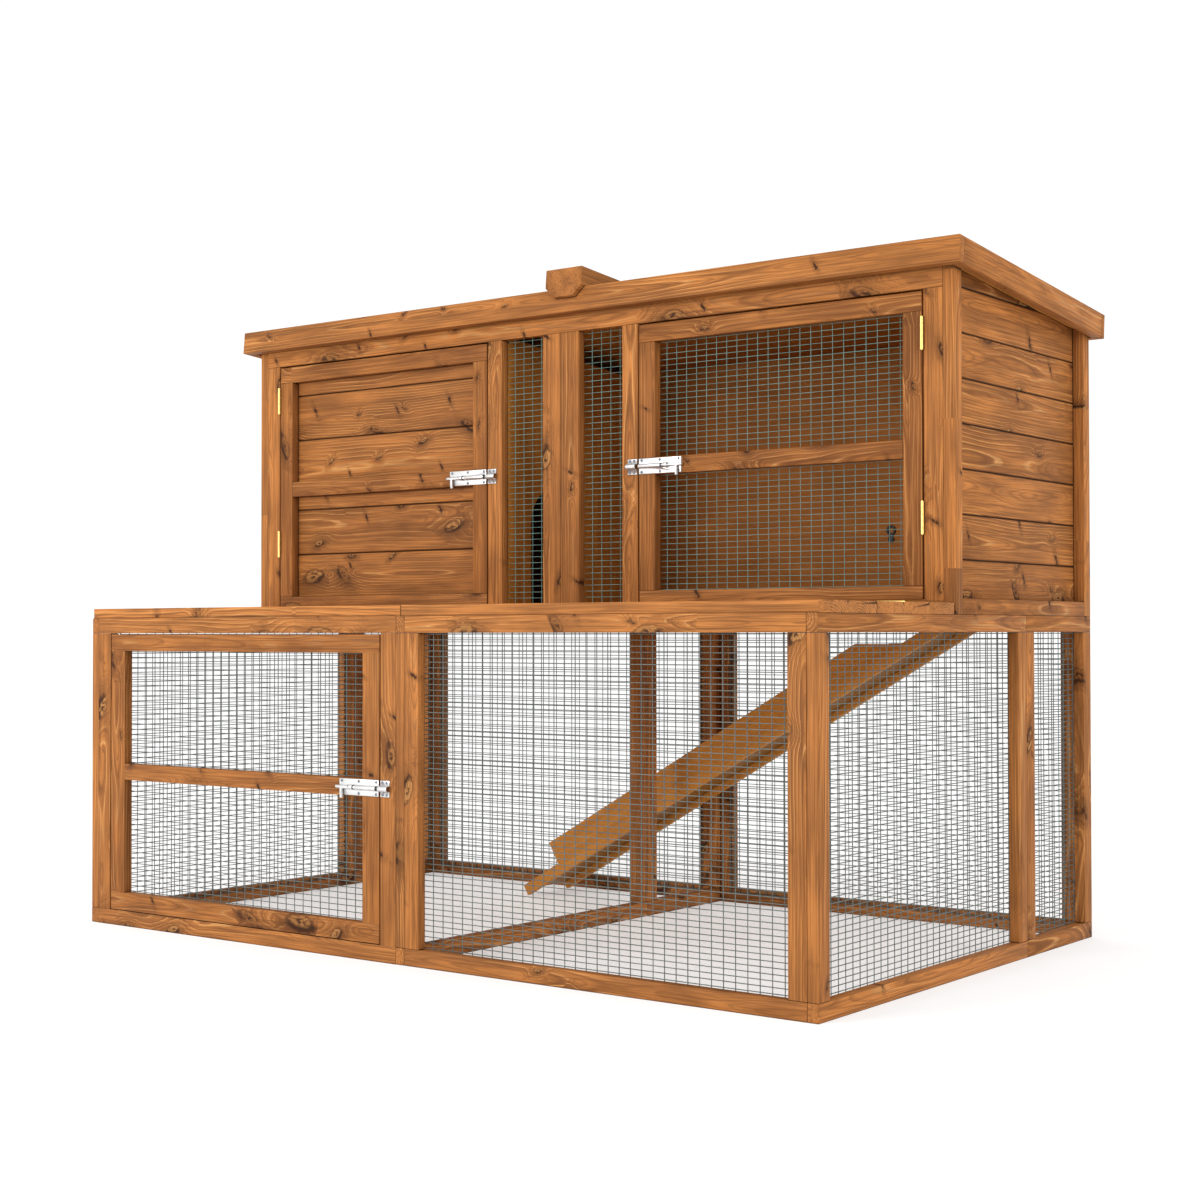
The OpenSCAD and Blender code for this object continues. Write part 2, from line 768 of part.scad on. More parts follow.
module hutch_front_frame() {
  inner_w = hutch_w - 2 * post_w;
  color(STAIN) under_roof() {
    box([hutch_x0 + post_w, hutch_y0, run_h], [inner_w, frame_t, sill_h]);
    box([hutch_x0 + post_w, hutch_y0, head_z], [inner_w, frame_t, tall]);
    for (x = [hutch_x0 + post_w, left_strip_x - hutch_stile_w,
        -left_strip_x, -hutch_x0 - post_w - hutch_stile_w]) {
      box([x, hutch_y0, sill_top + seam], [hutch_stile_w, frame_t, head_z - sill_top - 2 * seam]);
    }
  }
}

module hutch_centre_post() {
  color(STAIN) for (x = [-centre_post_w / 2, seam]) {
    box([x, hutch_y0, sill_top], [centre_post_w / 2 - seam, frame_t, head_z - sill_top]);
  }
}

module hutch_side_rails() {
  color(STAIN) for (x = [hutch_x0, -hutch_x0 - post_w]) {
    box([x, hutch_y0 + post_d, run_h], [post_w, run_y1 - hutch_y0 - 2 * post_d, base_rail_h]);
  }
}

module hutch_back_frame() {
  inner_w = hutch_w - 2 * post_w;
  y = run_y1 - frame_t;
  low_z = run_h + base_rail_h;
  top_z = deck_z_at(run_d) - back_top_rail_h;
  color(STAIN) under_roof() {
    box([hutch_x0 + post_w, y, run_h], [inner_w, frame_t, base_rail_h]);
    box([hutch_x0 + post_w, y, top_z], [inner_w, frame_t, tall]);
    box([-back_stile_w / 2, y, low_z + seam], [back_stile_w, frame_t, top_z - low_z - 2 * seam]);
  }
}

module hutch_floor() {
  color(PLY) difference() {
    box([hutch_x0 + post_w, hutch_inner_y0, run_h],
      [hutch_w - 2 * post_w, run_y1 - frame_t - hutch_inner_y0, floor_t]);
    box([hole_x0, ramp_y0 - hole_side_room, run_h - cut],
      [hole_l, ramp_w + 2 * hole_side_room, floor_t + 2 * cut]);
  }
}

// The boards of a side wall, on the inside of the posts
module side_boards() {
  z0 = run_h + base_rail_h - wall_board_lap;
  d = run_y1 - frame_t - hutch_inner_y0;
  color(STAIN) under_roof() translate([-hutch_x0 - post_w, hutch_inner_y0, z0]) rotate([0, 0, 90])
    matchboards(d, tall, wall_board_h, board_t);
}

module hutch_right_side_boards() { side_boards(); }
module hutch_left_side_boards() { mirror([1, 0, 0]) side_boards(); }

// The back's boards show their faces to the outside
module hutch_back_boards() {
  z0 = run_h + base_rail_h - wall_board_lap;
  inner_w = hutch_w - 2 * (post_w + board_t);
  color(STAIN_DARK) under_roof() translate([inner_w / 2, run_y1 - frame_t, z0]) rotate([0, 0, 180])
    matchboards(inner_w, tall, wall_board_h, board_t);
}

module hutch_partition() {
  y0 = hutch_inner_y0 + mesh_t;
  spring_z = floor_top + pop_sill_h + pop_side_h;
  color(STAIN_DARK) difference() {
    intersection() {
      box([partition_x, y0, floor_top], [partition_t, hutch_inner_y1 - y0, tall]);
      on_roof() translate([0, 0, -partition_head_gap])
        box([-run_w, -run_w, deck_bottom - 2 * run_w], [2 * run_w, 2 * run_w, 2 * run_w]);
    }
    translate([partition_x - cut, hutch_inner_y0 + pop_y + pop_r, spring_z]) rotate([0, 90, 0])
      cylinder(r = pop_r, h = partition_t + 2 * cut);
    box([partition_x - cut, hutch_inner_y0 + pop_y, spring_z - pop_side_h],
      [partition_t + 2 * cut, pop_w, pop_side_h]);
  }
}

module hutch_window_mesh() {
  color(WIRE) for (x = [left_strip_x, right_strip_x]) {
    window_mesh(x, hutch_inner_y0, sill_top, strip_w, head_z - sill_top);
  }
}

// A ring on a short stem, screwed to the back's inside
module bottle_hook() {
  ring_r = hook_ring_d / 2;
  foot_r = hook_foot_d / 2;
  foot_z = ring_r + foot_r - hook_h;
  x = run_x1 - hook_x;
  z = run_h + hook_rise + hook_h / 2 - ring_r;
  color(BLACK) translate([x, hutch_inner_y1, z]) {
    difference() {
      union() {
        rotate([90, 0, 0]) cylinder(r = ring_r, h = hook_t);
        translate([0, 0, foot_z]) rotate([90, 0, 0]) cylinder(r = foot_r, h = hook_t);
        box([-hook_stem_w / 2, -hook_t, foot_z], [hook_stem_w, hook_t, -foot_z]);
      }
      translate([0, cut, 0]) rotate([90, 0, 0])
        cylinder(r = ring_r - hook_t, h = hook_t + 2 * cut);
    }
  }
}

// A hutch door's frame with its low left corner at x
module door_frame(x) {
  translate([x, hutch_y0, door_z0])
    frame_xz(hutch_door_w, hutch_door_h, frame_t, door_stile_w,
      door_bottom_rail_w, door_top_rail_w, bolt_z - door_z0);
}

module left_door_frame() { color(STAIN_DARK) door_frame(left_door_x); }
module right_door_frame() { color(STAIN_DARK) door_frame(right_door_x); }

// Two sets of boards behind the frame, parted behind the middle rail
module left_door_boards() {
  x = left_door_x + door_stile_w - board_side_lap;
  w = hutch_door_w - 2 * (door_stile_w - board_side_lap);
  low_z = door_z0 + door_bottom_rail_w - board_low_lap;
  high_z = bolt_z + mid_rail_w / 2 - board_low_lap;
  top_z = door_z1 - door_top_rail_w + board_side_lap;
  color(STAIN) {
    translate([x, hutch_inner_y0, low_z]) matchboards(w, bolt_z - low_z, door_board_h, board_t);
    translate([x, hutch_inner_y0, high_z]) matchboards(w, top_z - high_z, door_board_h, board_t);
  }
}

module right_door_mesh() {
  w = hutch_door_w - 2 * door_stile_w;
  low_z = door_z0 + door_bottom_rail_w;
  mid_z = bolt_z + mid_rail_w / 2;
  color(WIRE) {
    window_mesh(right_door_x + door_stile_w, hutch_inner_y0, low_z, w, mid_z - mid_rail_w - low_z);
    window_mesh(right_door_x + door_stile_w, hutch_inner_y0, mid_z, w, door_z1 - door_top_rail_w - mid_z);
  }
}

module left_door_hinge_leaves() {
  color(BRASS) at_door_hinges(left_axis_x) hinge_leaf(door_hinge_l, hutch_door_gap, 1);
}

module right_door_hinge_leaves() {
  color(BRASS) at_door_hinges(right_axis_x) mirror([1, 0, 0]) hinge_leaf(door_hinge_l, hutch_door_gap, 1);
}

module door_hinge_fixed_leaves() {
  color(BRASS) {
    at_door_hinges(left_axis_x) mirror([1, 0, 0]) hinge_leaf(door_hinge_l, hutch_door_gap, 0);
    at_door_hinges(right_axis_x) hinge_leaf(door_hinge_l, hutch_door_gap, 0);
  }
}

module hinge_pins() {
  color(BRASS) {
    at_door_hinges(left_axis_x) hinge_pin(door_hinge_l);
    at_door_hinges(right_axis_x) hinge_pin(door_hinge_l);
    at_lid_hinges(left_lid_x, left_lid_w) hinge_pin(lid_hinge_l);
    at_lid_hinges(right_lid_x, right_lid_w) hinge_pin(lid_hinge_l);
  }
}

// ---- Bolts ----

module left_bolt_plate() { color(ZINC) at_left_bolt() bolt_plate(); }
module left_bolt_rod() { color(ZINC) at_left_bolt() bolt_rod(); }
module right_bolt_plate() { color(ZINC) at_right_bolt() bolt_plate(); }
module right_bolt_rod() { color(ZINC) at_right_bolt() bolt_rod(); }
module run_bolt_plate() { color(ZINC) at_run_bolt() bolt_plate(); }
module run_bolt_rod() { color(ZINC) at_run_bolt() bolt_rod(); }

module bolt_keepers() {
  hutch_keeper_x = bolt_plate_l / 2 + 2 * plate_gap + hutch_door_gap;
  run_keeper_x = bolt_plate_l / 2 + 2 * plate_gap + run_door_gap;
  color(ZINC) {
    at_left_bolt() translate([hutch_keeper_x, 0, 0]) bolt_keeper();
    at_right_bolt() translate([hutch_keeper_x, 0, 0]) bolt_keeper();
    at_run_bolt() translate([run_keeper_x, 0, 0]) bolt_keeper();
  }
}

// ---- Roof ----

roof_w = hutch_w + 2 * roof_side_over;
roof_inner_w = roof_w - 2 * fascia_t;
roof_inner_d = roof_d - fascia_t - back_fascia_t;

// Two sheets that meet under the batten
module roof_deck() {
  color(PLY) on_roof() {
    box([-roof_inner_w / 2, fascia_t, deck_bottom],
      [roof_inner_w / 2 + batten_x - seam, roof_inner_d, deck_t]);
    box([batten_x, fascia_t, deck_bottom], [roof_inner_w / 2 - batten_x, roof_inner_d, deck_t]);
  }
}

module roof_felt() {
  color(FELT) on_roof()
    box([-roof_inner_w / 2, fascia_t, deck_top], [roof_inner_w, roof_inner_d, felt_t]);
}

module roof_fascia() {
  color(STAIN) on_roof() {
    difference() {
      union() {
        box([-roof_w / 2, 0, -fascia_h], [roof_w, fascia_t, fascia_h]);
        box([-roof_w / 2, roof_d - back_fascia_t, -fascia_h], [roof_w, back_fascia_t, fascia_h]);
      }
      batten_shape();
    }
    for (x = [-roof_w / 2, roof_w / 2 - fascia_t]) {
      box([x, fascia_t + seam, -fascia_h], [fascia_t, roof_inner_d - 2 * seam, fascia_h]);
    }
  }
}

// The batten runs through notches in the front and back fascia boards
module batten_shape() {
  half = batten_w / 2;
  low = -felt_drop;
  translate([batten_x, roof_d + batten_nose, 0]) rotate([90, 0, 0])
    linear_extrude(roof_d + 2 * batten_nose) polygon([
      [-half + batten_chamfer, low], [half - batten_chamfer, low],
      [half, low + batten_chamfer], [half, batten_rise],
      [-half, batten_rise], [-half, low + batten_chamfer]
    ]);
}

module roof_batten() {
  color(STAIN) on_roof() batten_shape();
}

// ---- Ramp ----

// Extrudes an outline drawn in X and Z from y over the width w
module ramp_plate(y, w, points) {
  translate([0, y + w, 0]) rotate([90, 0, 0]) linear_extrude(w) polygon(points);
}

module ramp_tread() {
  low_h = ramp_edge_h - ramp_tread_t;
  color(PLY) ramp_plate(ramp_y0 + ramp_side_t, ramp_w - 2 * ramp_side_t, [
    ramp_at(0, low_h),
    [hole_x1, ramp_run * tan(ramp_slope) + low_h / cos(ramp_slope)],
    [hole_x1, floor_top],
    ramp_at(0, ramp_edge_h)
  ]);
}

module ramp_sides() {
  cut_z = run_h - ramp_guard_drop;
  outline = [
    ramp_at(0, 0),
    [hole_x1, ramp_run * tan(ramp_slope)],
    [hole_x1, floor_top],
    ramp_at(ramp_reach(cut_z, ramp_edge_h), ramp_edge_h),
    ramp_at(ramp_reach(cut_z, ramp_guard_h), ramp_guard_h),
    ramp_at(ramp_guard_start, ramp_guard_h),
    ramp_at(ramp_guard_start, ramp_edge_h),
    ramp_at(0, ramp_edge_h)
  ];
  color(PLY) for (y = [ramp_y0, ramp_y0 + ramp_w - ramp_side_t]) {
    ramp_plate(y, ramp_side_t, outline);
  }
}

module ramp_cleats() {
  n = floor((ramp_reach(run_h - cleat_size, ramp_edge_h) - cleat_start) / cleat_pitch);
  color(PLY) for (i = [0 : n]) {
    s = cleat_start + i * cleat_pitch;
    ramp_plate(ramp_y0 + ramp_side_t, ramp_w - 2 * ramp_side_t, [
      ramp_at(s, ramp_edge_h), ramp_at(s + cleat_size, ramp_edge_h),
      ramp_at(s + cleat_size, ramp_edge_h + cleat_size), ramp_at(s, ramp_edge_h + cleat_size)
    ]);
  }
}

run_left_front_panel();
run_left_rear_panel();
run_divider_front_panel();
run_divider_rear_panel();
run_right_front_panel();
run_right_rear_panel();
run_back_panels();
run_front_mesh_panel();
run_door_surround();
run_left_wall_mesh();
run_right_wall_mesh();
run_back_mesh();
run_front_mesh();
run_door_frame();
run_door_mesh();
run_door_pivot_pins();
left_lid_boards();
left_lid_battens();
right_lid_boards();
right_lid_battens();
left_lid_hinge_leaves();
right_lid_hinge_leaves();
lid_hinge_fixed_leaves();
hutch_corner_posts();
hutch_front_frame();
hutch_centre_post();
hutch_side_rails();
hutch_back_frame();
hutch_floor();
hutch_left_side_boards();
hutch_right_side_boards();
hutch_back_boards();
hutch_partition();
hutch_window_mesh();
bottle_hook();
left_door_frame();
left_door_boards();
right_door_frame();
right_door_mesh();
left_door_hinge_leaves();
right_door_hinge_leaves();
door_hinge_fixed_leaves();
hinge_pins();
left_bolt_plate();
left_bolt_rod();
right_bolt_plate();
right_bolt_rod();
run_bolt_plate();
run_bolt_rod();
bolt_keepers();
roof_deck();
roof_felt();
roof_fascia();
roof_batten();
ramp_tread();
ramp_sides();
ramp_cleats();
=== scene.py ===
"""Looks of a rabbit hutch that stands on a wire-mesh run."""
import logging
import math
import random
from dataclasses import dataclass, field
from enum import Enum
from functools import cache

import bmesh
import bpy
from mathutils import Matrix, Vector


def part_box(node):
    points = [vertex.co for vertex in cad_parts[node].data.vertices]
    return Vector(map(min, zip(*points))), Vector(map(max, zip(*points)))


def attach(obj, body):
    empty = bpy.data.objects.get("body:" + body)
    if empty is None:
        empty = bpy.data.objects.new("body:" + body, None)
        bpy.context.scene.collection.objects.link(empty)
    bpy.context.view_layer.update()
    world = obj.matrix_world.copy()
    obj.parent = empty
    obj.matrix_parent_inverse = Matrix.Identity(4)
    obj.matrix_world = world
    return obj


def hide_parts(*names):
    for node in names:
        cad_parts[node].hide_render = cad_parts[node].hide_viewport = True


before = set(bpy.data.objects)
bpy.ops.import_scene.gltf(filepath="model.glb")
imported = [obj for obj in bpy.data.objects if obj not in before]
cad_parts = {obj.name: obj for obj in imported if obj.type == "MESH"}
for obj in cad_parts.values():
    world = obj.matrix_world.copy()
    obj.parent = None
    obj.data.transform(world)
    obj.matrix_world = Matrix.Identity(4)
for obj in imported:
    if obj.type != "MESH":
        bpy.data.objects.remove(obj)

LOG = logging.getLogger("hutch")
MM = 0.001
Triple = tuple[float, float, float]
Colour = Triple
Socket = bpy.types.NodeSocket
Mesh = bpy.types.Mesh
WorkMesh = bmesh.types.BMesh
Material = bpy.types.Material


class Slot(Enum):
    """The record's material slots."""

    STAINED_PINE = "stained_pine"
    DARK_PINE = "dark_pine"
    PLYWOOD = "plywood"
    WIRE = "galvanised_wire"
    ZINC = "zinc_plate"
    BRASS = "brass"
    FELT = "roof_felt"
    BLACK = "black_plastic"


class Body(Enum):
    """The bodies that move."""

    FRAME = "frame"
    LEFT_DOOR = "left_door"
    RIGHT_DOOR = "right_door"
    RUN_DOOR = "run_door"
    LEFT_LID = "left_lid"
    RIGHT_LID = "right_lid"
    LEFT_BOLT = "left_bolt"
    RIGHT_BOLT = "right_bolt"
    RUN_BOLT = "run_bolt"


class Axis(Enum):
    """An axis by its index."""

    X = 0
    Y = 1
    Z = 2


# ---- Node trees ----


class Value:
    """What an output socket holds. Numbers take part in arithmetic."""

    def __init__(self, graph: "Graph", socket: Socket) -> None:
        """Keeps the graph and the output socket."""
        self.graph = graph
        self.socket = socket

    def __add__(self, other: object) -> "Value":
        """Returns the sum."""
        return self.graph.math("ADD", self, other)

    def __sub__(self, other: object) -> "Value":
        """Returns the difference."""
        return self.graph.math("SUBTRACT", self, other)

    def __mul__(self, other: object) -> "Value":
        """Returns the product."""
        return self.graph.math("MULTIPLY", self, other)

    def __truediv__(self, other: object) -> "Value":
        """Returns the quotient."""
        return self.graph.math("DIVIDE", self, other)


class Graph:
    """Wires a node tree with short calls."""

    def __init__(self, tree: bpy.types.NodeTree) -> None:
        """Empties the tree that is to be filled."""
        self.tree = tree
        tree.nodes.clear()

    def add(self, kind: str, inputs: dict | None = None, **settings: object) -> bpy.types.Node:
        """Adds a node.

        Args:
            kind: the node's type name.
            inputs: values or sockets by input name or index.
            settings: properties of the node.

        Returns:
            The node.
        """
        node = self.tree.nodes.new(kind)
        for name, value in settings.items():
            setattr(node, name, value)
        for key, value in (inputs or {}).items():
            self.put(node.inputs[key], value)
        return node

    def put(self, socket: Socket, value: object) -> None:
        """Links a socket to another, or gives it a constant.

        Args:
            socket: the input.
            value: a value, an output socket or a constant.
        """
        if isinstance(value, Value):
            value = value.socket
        if isinstance(value, Socket):
            self.tree.links.new(value, socket)
        elif isinstance(value, tuple) and len(value) == 3 and socket.type == "RGBA":
            socket.default_value = (*value, 1.0)
        else:
            socket.default_value = value

    def out(self, kind: str, inputs: dict | None = None, key: int | str = 0, **settings: object
            ) -> Value:
        """Adds a node and returns the output with this key."""
        return Value(self, self.add(kind, inputs, **settings).outputs[key])

    def math(self, operation: str, *values: object, clamp: bool = False) -> Value:
        """Returns what a Math node makes of values, held between 0 and 1 if it is clamped."""
        return self.out("ShaderNodeMath", dict(enumerate(values)), operation=operation,
                        use_clamp=clamp)

    def most(self, a: object, b: object) -> Value:
        """Returns the larger of two numbers."""
        return self.math("MAXIMUM", a, b)

    def vector(self, operation: str, *values: object) -> Value:
        """Returns what a Vector Math node makes of values."""
        key = "Value" if operation == "LENGTH" else "Vector"
        return self.out("ShaderNodeVectorMath", dict(enumerate(values)), key, operation=operation)

    def length(self, x: object, y: object) -> Value:
        """Returns the length of a flat vector."""
        return self.vector("LENGTH", self.join(x, y, 0.0))

    def join(self, x: object, y: object, z: object) -> Value:
        """Returns a vector of three numbers."""
        return self.out("ShaderNodeCombineXYZ", {0: x, 1: y, 2: z})

    def split(self, vector: object) -> tuple[Value, ...]:
        """Returns a vector's three numbers."""
        outputs = self.add("ShaderNodeSeparateXYZ", {0: vector}).outputs
        return tuple(Value(self, output) for output in outputs)

    def step(self, value: object, low: object, high: object) -> Value:
        """Returns a smooth step from 0 at low to 1 at high."""
        places = {"Value": value, "From Min": low, "From Max": high}
        return self.out("ShaderNodeMapRange", places, interpolation_type="SMOOTHSTEP")

    def here(self) -> Value:
        """Returns the place in the object's own coordinates."""
        return self.out("ShaderNodeTexCoord", key="Object")

    def noise(self, vector: object, scale: float, detail: float, colour: bool = False) -> Value:
        """Returns noise on a vector: one number, or three if a colour is wanted."""
        places = {"Vector": vector, "Scale": scale, "Detail": detail}
        return self.out("ShaderNodeTexNoise", places, "Color" if colour else "Fac")

    def streaks(self, place: tuple[Value, ...], along: float, across: float, detail: float,
                colour: bool = False) -> Value:
        """Returns noise in grain coordinates, with one scale along the timber and one across it."""
        u, v, w = place
        return self.noise(self.join(u * along, v * across, w * across), 1.0, detail, colour)

    def cells(self, x: Value, y: Value) -> tuple[tuple[Value, ...], tuple[Value, ...]]:
        """Finds the nearest of many scattered points.

        Args:
            x: the first coordinate.
            y: the second coordinate.

        Returns:
            The way to the point, and its three chance numbers.
        """
        place = self.join(x, y, 0.0)
        outputs = self.add("ShaderNodeTexVoronoi", {"Vector": place, "Scale": 1.0},
                           voronoi_dimensions="2D").outputs
        way = self.vector("SUBTRACT", outputs["Position"], place)
        return self.split(way), self.split(outputs["Color"])

    def mix(self, factor: object, a: object, b: object) -> Value:
        """Returns a mix of two colours, b at factor 1."""
        return self.out("ShaderNodeMix", {0: factor, 6: a, 7: b}, 2, data_type="RGBA")

    def attribute(self, name: str) -> tuple[Value, ...]:
        """Returns the three numbers that a mesh attribute holds."""
        return self.split(self.out("ShaderNodeAttribute", None, "Vector", attribute_name=name))

    def bump(self, height: object, distance: float, strength: float) -> Value:
        """Returns the normal of bumps of this height, size in metres and strength."""
        places = {"Height": height, "Distance": distance, "Strength": strength}
        return self.out("ShaderNodeBump", places, "Normal")

    def crease(self, distance: float) -> Value:
        """Returns 1 where another face is as near as this, in metres, and 0 on an open face; the
        finishes paint shade in creases with it.
        """
        near = self.out("ShaderNodeAmbientOcclusion", {"Distance": distance}, "AO", samples=6)
        return self.step(near, 0.92, 0.60)

    def surface(self, inputs: dict) -> None:
        """Ends a material's tree with the shader that has these inputs."""
        shader = self.out("ShaderNodeBsdfPrincipled", inputs)
        self.add("ShaderNodeOutputMaterial", {"Surface": shader})


def new_graph(name: str) -> tuple[Material, Graph]:
    """Makes an empty material.

    Args:
        name: the material's name.

    Returns:
        The material and its graph.
    """
    material = bpy.data.materials.new(name)
    material.use_nodes = True
    return material, Graph(material.node_tree)


def new_tree(name: str, inputs: tuple[tuple[str, str], ...]
             ) -> tuple[bpy.types.NodeTree, dict[str, str]]:
    """Makes a tree of geometry nodes.

    Args:
        name: the tree's name.
        inputs: the name and the type of each input.

    Returns:
        The tree, and the inputs' identifiers by name.
    """
    tree = bpy.data.node_groups.new(name, "GeometryNodeTree")
    face = tree.interface
    face.new_socket("Geometry", in_out="OUTPUT", socket_type="NodeSocketGeometry")
    keys = {key: face.new_socket(key, in_out="INPUT", socket_type=f"NodeSocket{kind}").identifier
            for key, kind in inputs}
    return tree, keys


def scaled(colour: Colour, factor: float) -> Colour:
    """Returns a colour at another brightness."""
    return tuple(factor * part for part in colour)


# ---- Finishes ----


@dataclass(frozen=True)
class Pine:
    """Stained knotty pine. Its pattern lies in each timber's own grain coordinates."""

    name: str
    slot: Slot
    dark: Colour = (0.126, 0.046, 0.014)
    body: Colour = (0.495, 0.186, 0.047)
    light: Colour = (0.760, 0.370, 0.120)
    knot: Colour = (0.026, 0.009, 0.004)
    ring: float = 5.6 * MM
    lines: float = 0.76
    knots: float = 0.46
    plain: tuple[Colour, Colour] = ((0.320, 0.114, 0.023), (0.490, 0.181, 0.040))

    def material(self) -> Material:
        """Builds the material.

        Returns:
            The material.
        """
        material, g = new_graph(self.name)
        u, v, w = g.attribute("grain")
        tone, groove, kind = g.attribute("timber")
        finger, plain = g.most(kind, 0.0), g.most(kind * -1.0, 0.0)

        # Short lengths that are glued end to end, where the timber has them
        piece = g.math("FLOOR", u * 3.6 + tone * 5.0)
        lot = g.add("ShaderNodeTexWhiteNoise", {"W": piece}, noise_dimensions="1D")
        lot_u, lot_w, lot_tone = g.split(lot.outputs["Color"])
        u = u + finger * (lot_u * 5.0)
        w = w + finger * (lot_w * 0.05)
        tone = tone + finger * (g.step(lot_tone, 0.60, 0.66) * -1.5 + 0.3)
        place = (u, v, w)

        # Growth rings round a pith that wanders along the timber
        slow_v, slow_w, _ = g.split(g.streaks(place, 1.15, 3.4, 2.0, colour=True))
        quick_v, quick_w, quick_mark = g.split(g.streaks(place, 7.0, 38.0, 2.0, colour=True))
        radius = g.length(v + (slow_v * 0.05 + (quick_v * 0.004 - 0.027)),
                          w + (slow_w * 0.06 + (quick_w * 0.004 - 0.032)))
        ragged = g.streaks(place, 110.0, 150.0, 2.0)

        # Knots, one in some of the cells along the timber
        (away_u, away_v, _), (pick, size, lean) = g.cells(u * 7.0, v * 11.0)
        near_u = away_u / (pick * 22.0 + 7.0) + (quick_w * 0.012 - 0.006)
        near_v = away_v / 11.0 + (quick_v * 0.010 - 0.005)
        near_v = (lean * 1.8 - 0.9) * near_u + near_v
        distance = g.length(near_u, near_v) + (ragged * 0.008 - 0.004)
        reach = distance / (g.math("POWER", size, 2.0) * 0.0110 + 0.0032)
        has_knot = g.math("LESS_THAN", pick, self.knots)
        side = g.step(near_v / g.most(distance, 0.001), -0.45, 0.60)
        swell = g.math("EXPONENT", g.math("POWER", reach / 2.8, 2.0) * -1.0) * has_knot

        # The rings' pale late wood, their shaded side and the fine lines between them
        rings = radius / self.ring + swell * 2.6
        part, fine_part = g.math("FRACT", rings), g.math("FRACT", rings * 3.0)
        late = g.step(part, 0.80, 0.90) * g.step(part, 1.0, 0.95)
        shade = g.step(part, 0.25, 0.70) * g.step(part, 0.80, 0.74)
        fine = g.step(fine_part, 0.4, 0.85) * g.step(fine_part, 1.0, 0.88)
        strong = g.step(g.streaks(place, 2.3, 12.0, 1.0), 0.42, 0.66)
        fibre = g.streaks(place, 8.0, 460.0, 3.0)
        streak = g.streaks(place, 2.4, 150.0, 2.0)
        cloud = g.streaks(place, 6.5, 26.0, 4.0)

        # Short dark dashes of bark
        way, (dash_pick, dash_size, _) = g.cells((v * 0.45 + u) * 4.2, v * 9.0 + 17.3)
        dash_gap = g.length(way[0] / (4.2 * 0.0038), way[1] / (9.0 * 0.0095))
        dash_gap = ragged * 3.0 + (dash_gap / (dash_size + 0.65) - 1.5)
        has_dash = g.math("LESS_THAN", dash_pick, self.knots)
        dash_halo = has_dash * g.step(dash_gap, 3.4, 0.8)

        # The colour of the plain timber, then of its knots and dashes, then painted shade in its
        # grooves and creases
        mood = g.math("ADD", (cloud - 0.5) * 1.6, tone * 0.34 + 0.60, clamp=True)
        colour = g.mix(mood, self.dark, self.body)
        colour = g.mix(late * (strong * self.lines + 0.10), colour, self.light)
        for darker in (shade * (strong * (0.5 * self.lines) + 0.12),
                       g.step(streak, 0.52, 0.32) * 0.42, fine * 0.44,
                       g.step(fibre, 0.57, 0.33) * 0.55):
            colour = g.mix(darker, colour, self.dark)
        halo = g.step(reach, 4.2, 0.9) * has_knot * (side * 0.50 + 0.26)
        colour = g.mix(g.most(halo, dash_halo * 0.45), colour, scaled(self.dark, 0.8))
        core = g.step(reach, 1.02, 0.88) * has_knot
        flesh = g.mix(lean, scaled(self.light, 0.60), scaled(self.body, 0.42))
        colour = g.mix(core * 0.74, colour, g.mix(fine, flesh, self.dark))
        rim = g.step(g.math("ABSOLUTE", reach - 1.06), side * 0.42 + 0.22, 0.08)
        rim = rim * (side * 0.50 + 0.50) * g.step(quick_mark, 0.30, 0.46)
        heart = g.step(reach, 0.62, 0.30) * g.step(ragged, 0.40, 0.55)
        mark = g.most(g.most(rim, heart) * has_knot, has_dash * g.step(dash_gap, 1.1, 0.5))
        colour = g.mix(mark * 0.88, colour, self.knot)
        colour = g.mix(plain * 0.88, colour, g.mix(mood, *self.plain))
        # Painted shade: darker at the bottoms of the boards' grooves and in creases that ambient
        # occlusion finds
        painted_crease_shade = g.most(g.step(groove, 0.0, 0.8), g.crease(3 * MM) * 0.8)
        colour = g.mix(painted_crease_shade * 0.90, colour, scaled(self.knot, 0.5))

        height = late * 0.5 + fibre * 0.7 - core * 0.6
        g.surface({"Base Color": colour, "Roughness": fibre * 0.22 + (late * -0.08 + 0.50),
                   "Specular IOR Level": 0.09, "Normal": g.bump(height, 0.35 * MM, 0.55)})
        return material


@dataclass(frozen=True)
class Plywood:
    """Stained plywood: long soft streaks and small pores, with painted shade in creases and on
    faces that look down.
    """

    name: str = "plywood"
    slot: Slot = Slot.PLYWOOD
    dark: Colour = (0.350, 0.132, 0.022)
    body: Colour = (0.600, 0.250, 0.046)

    def material(self) -> Material:
        """Builds the material.

        Returns:
            The material.
        """
        material, g = new_graph(self.name)
        place = g.attribute("grain")
        tone, groove, kind = g.attribute("timber")
        streak = g.streaks(place, 5.0, 60.0, 4.0)
        fibre = g.streaks(place, 30.0, 700.0, 2.0)
        plies = g.math("FRACT", place[2] * 420.0)
        mood = g.math("ADD", (streak - 0.5) * 1.3, tone * 0.2 + 0.6, clamp=True)
        colour = g.mix(mood, self.dark, self.body)
        colour = g.mix(g.step(fibre, 0.50, 0.28) * 0.35, colour, self.dark)
        colour = g.mix(g.step(plies, 0.55, 0.5) * 0.10, colour, self.dark)
        # Painted shade in grooves and creases, and on faces marked as looking down
        painted_crease_shade = g.most(groove, g.crease(3 * MM) * 0.6)
        below = g.most(kind * -1.0, 0.0) * 0.62
        colour = g.mix(g.most(below, painted_crease_shade * 0.8), colour, scaled(self.dark, 0.3))
        g.surface({"Base Color": colour, "Roughness": fibre * 0.2 + 0.45,
                   "Specular IOR Level": 0.09, "Normal": g.bump(fibre, 0.25 * MM, 0.45)})
        return material


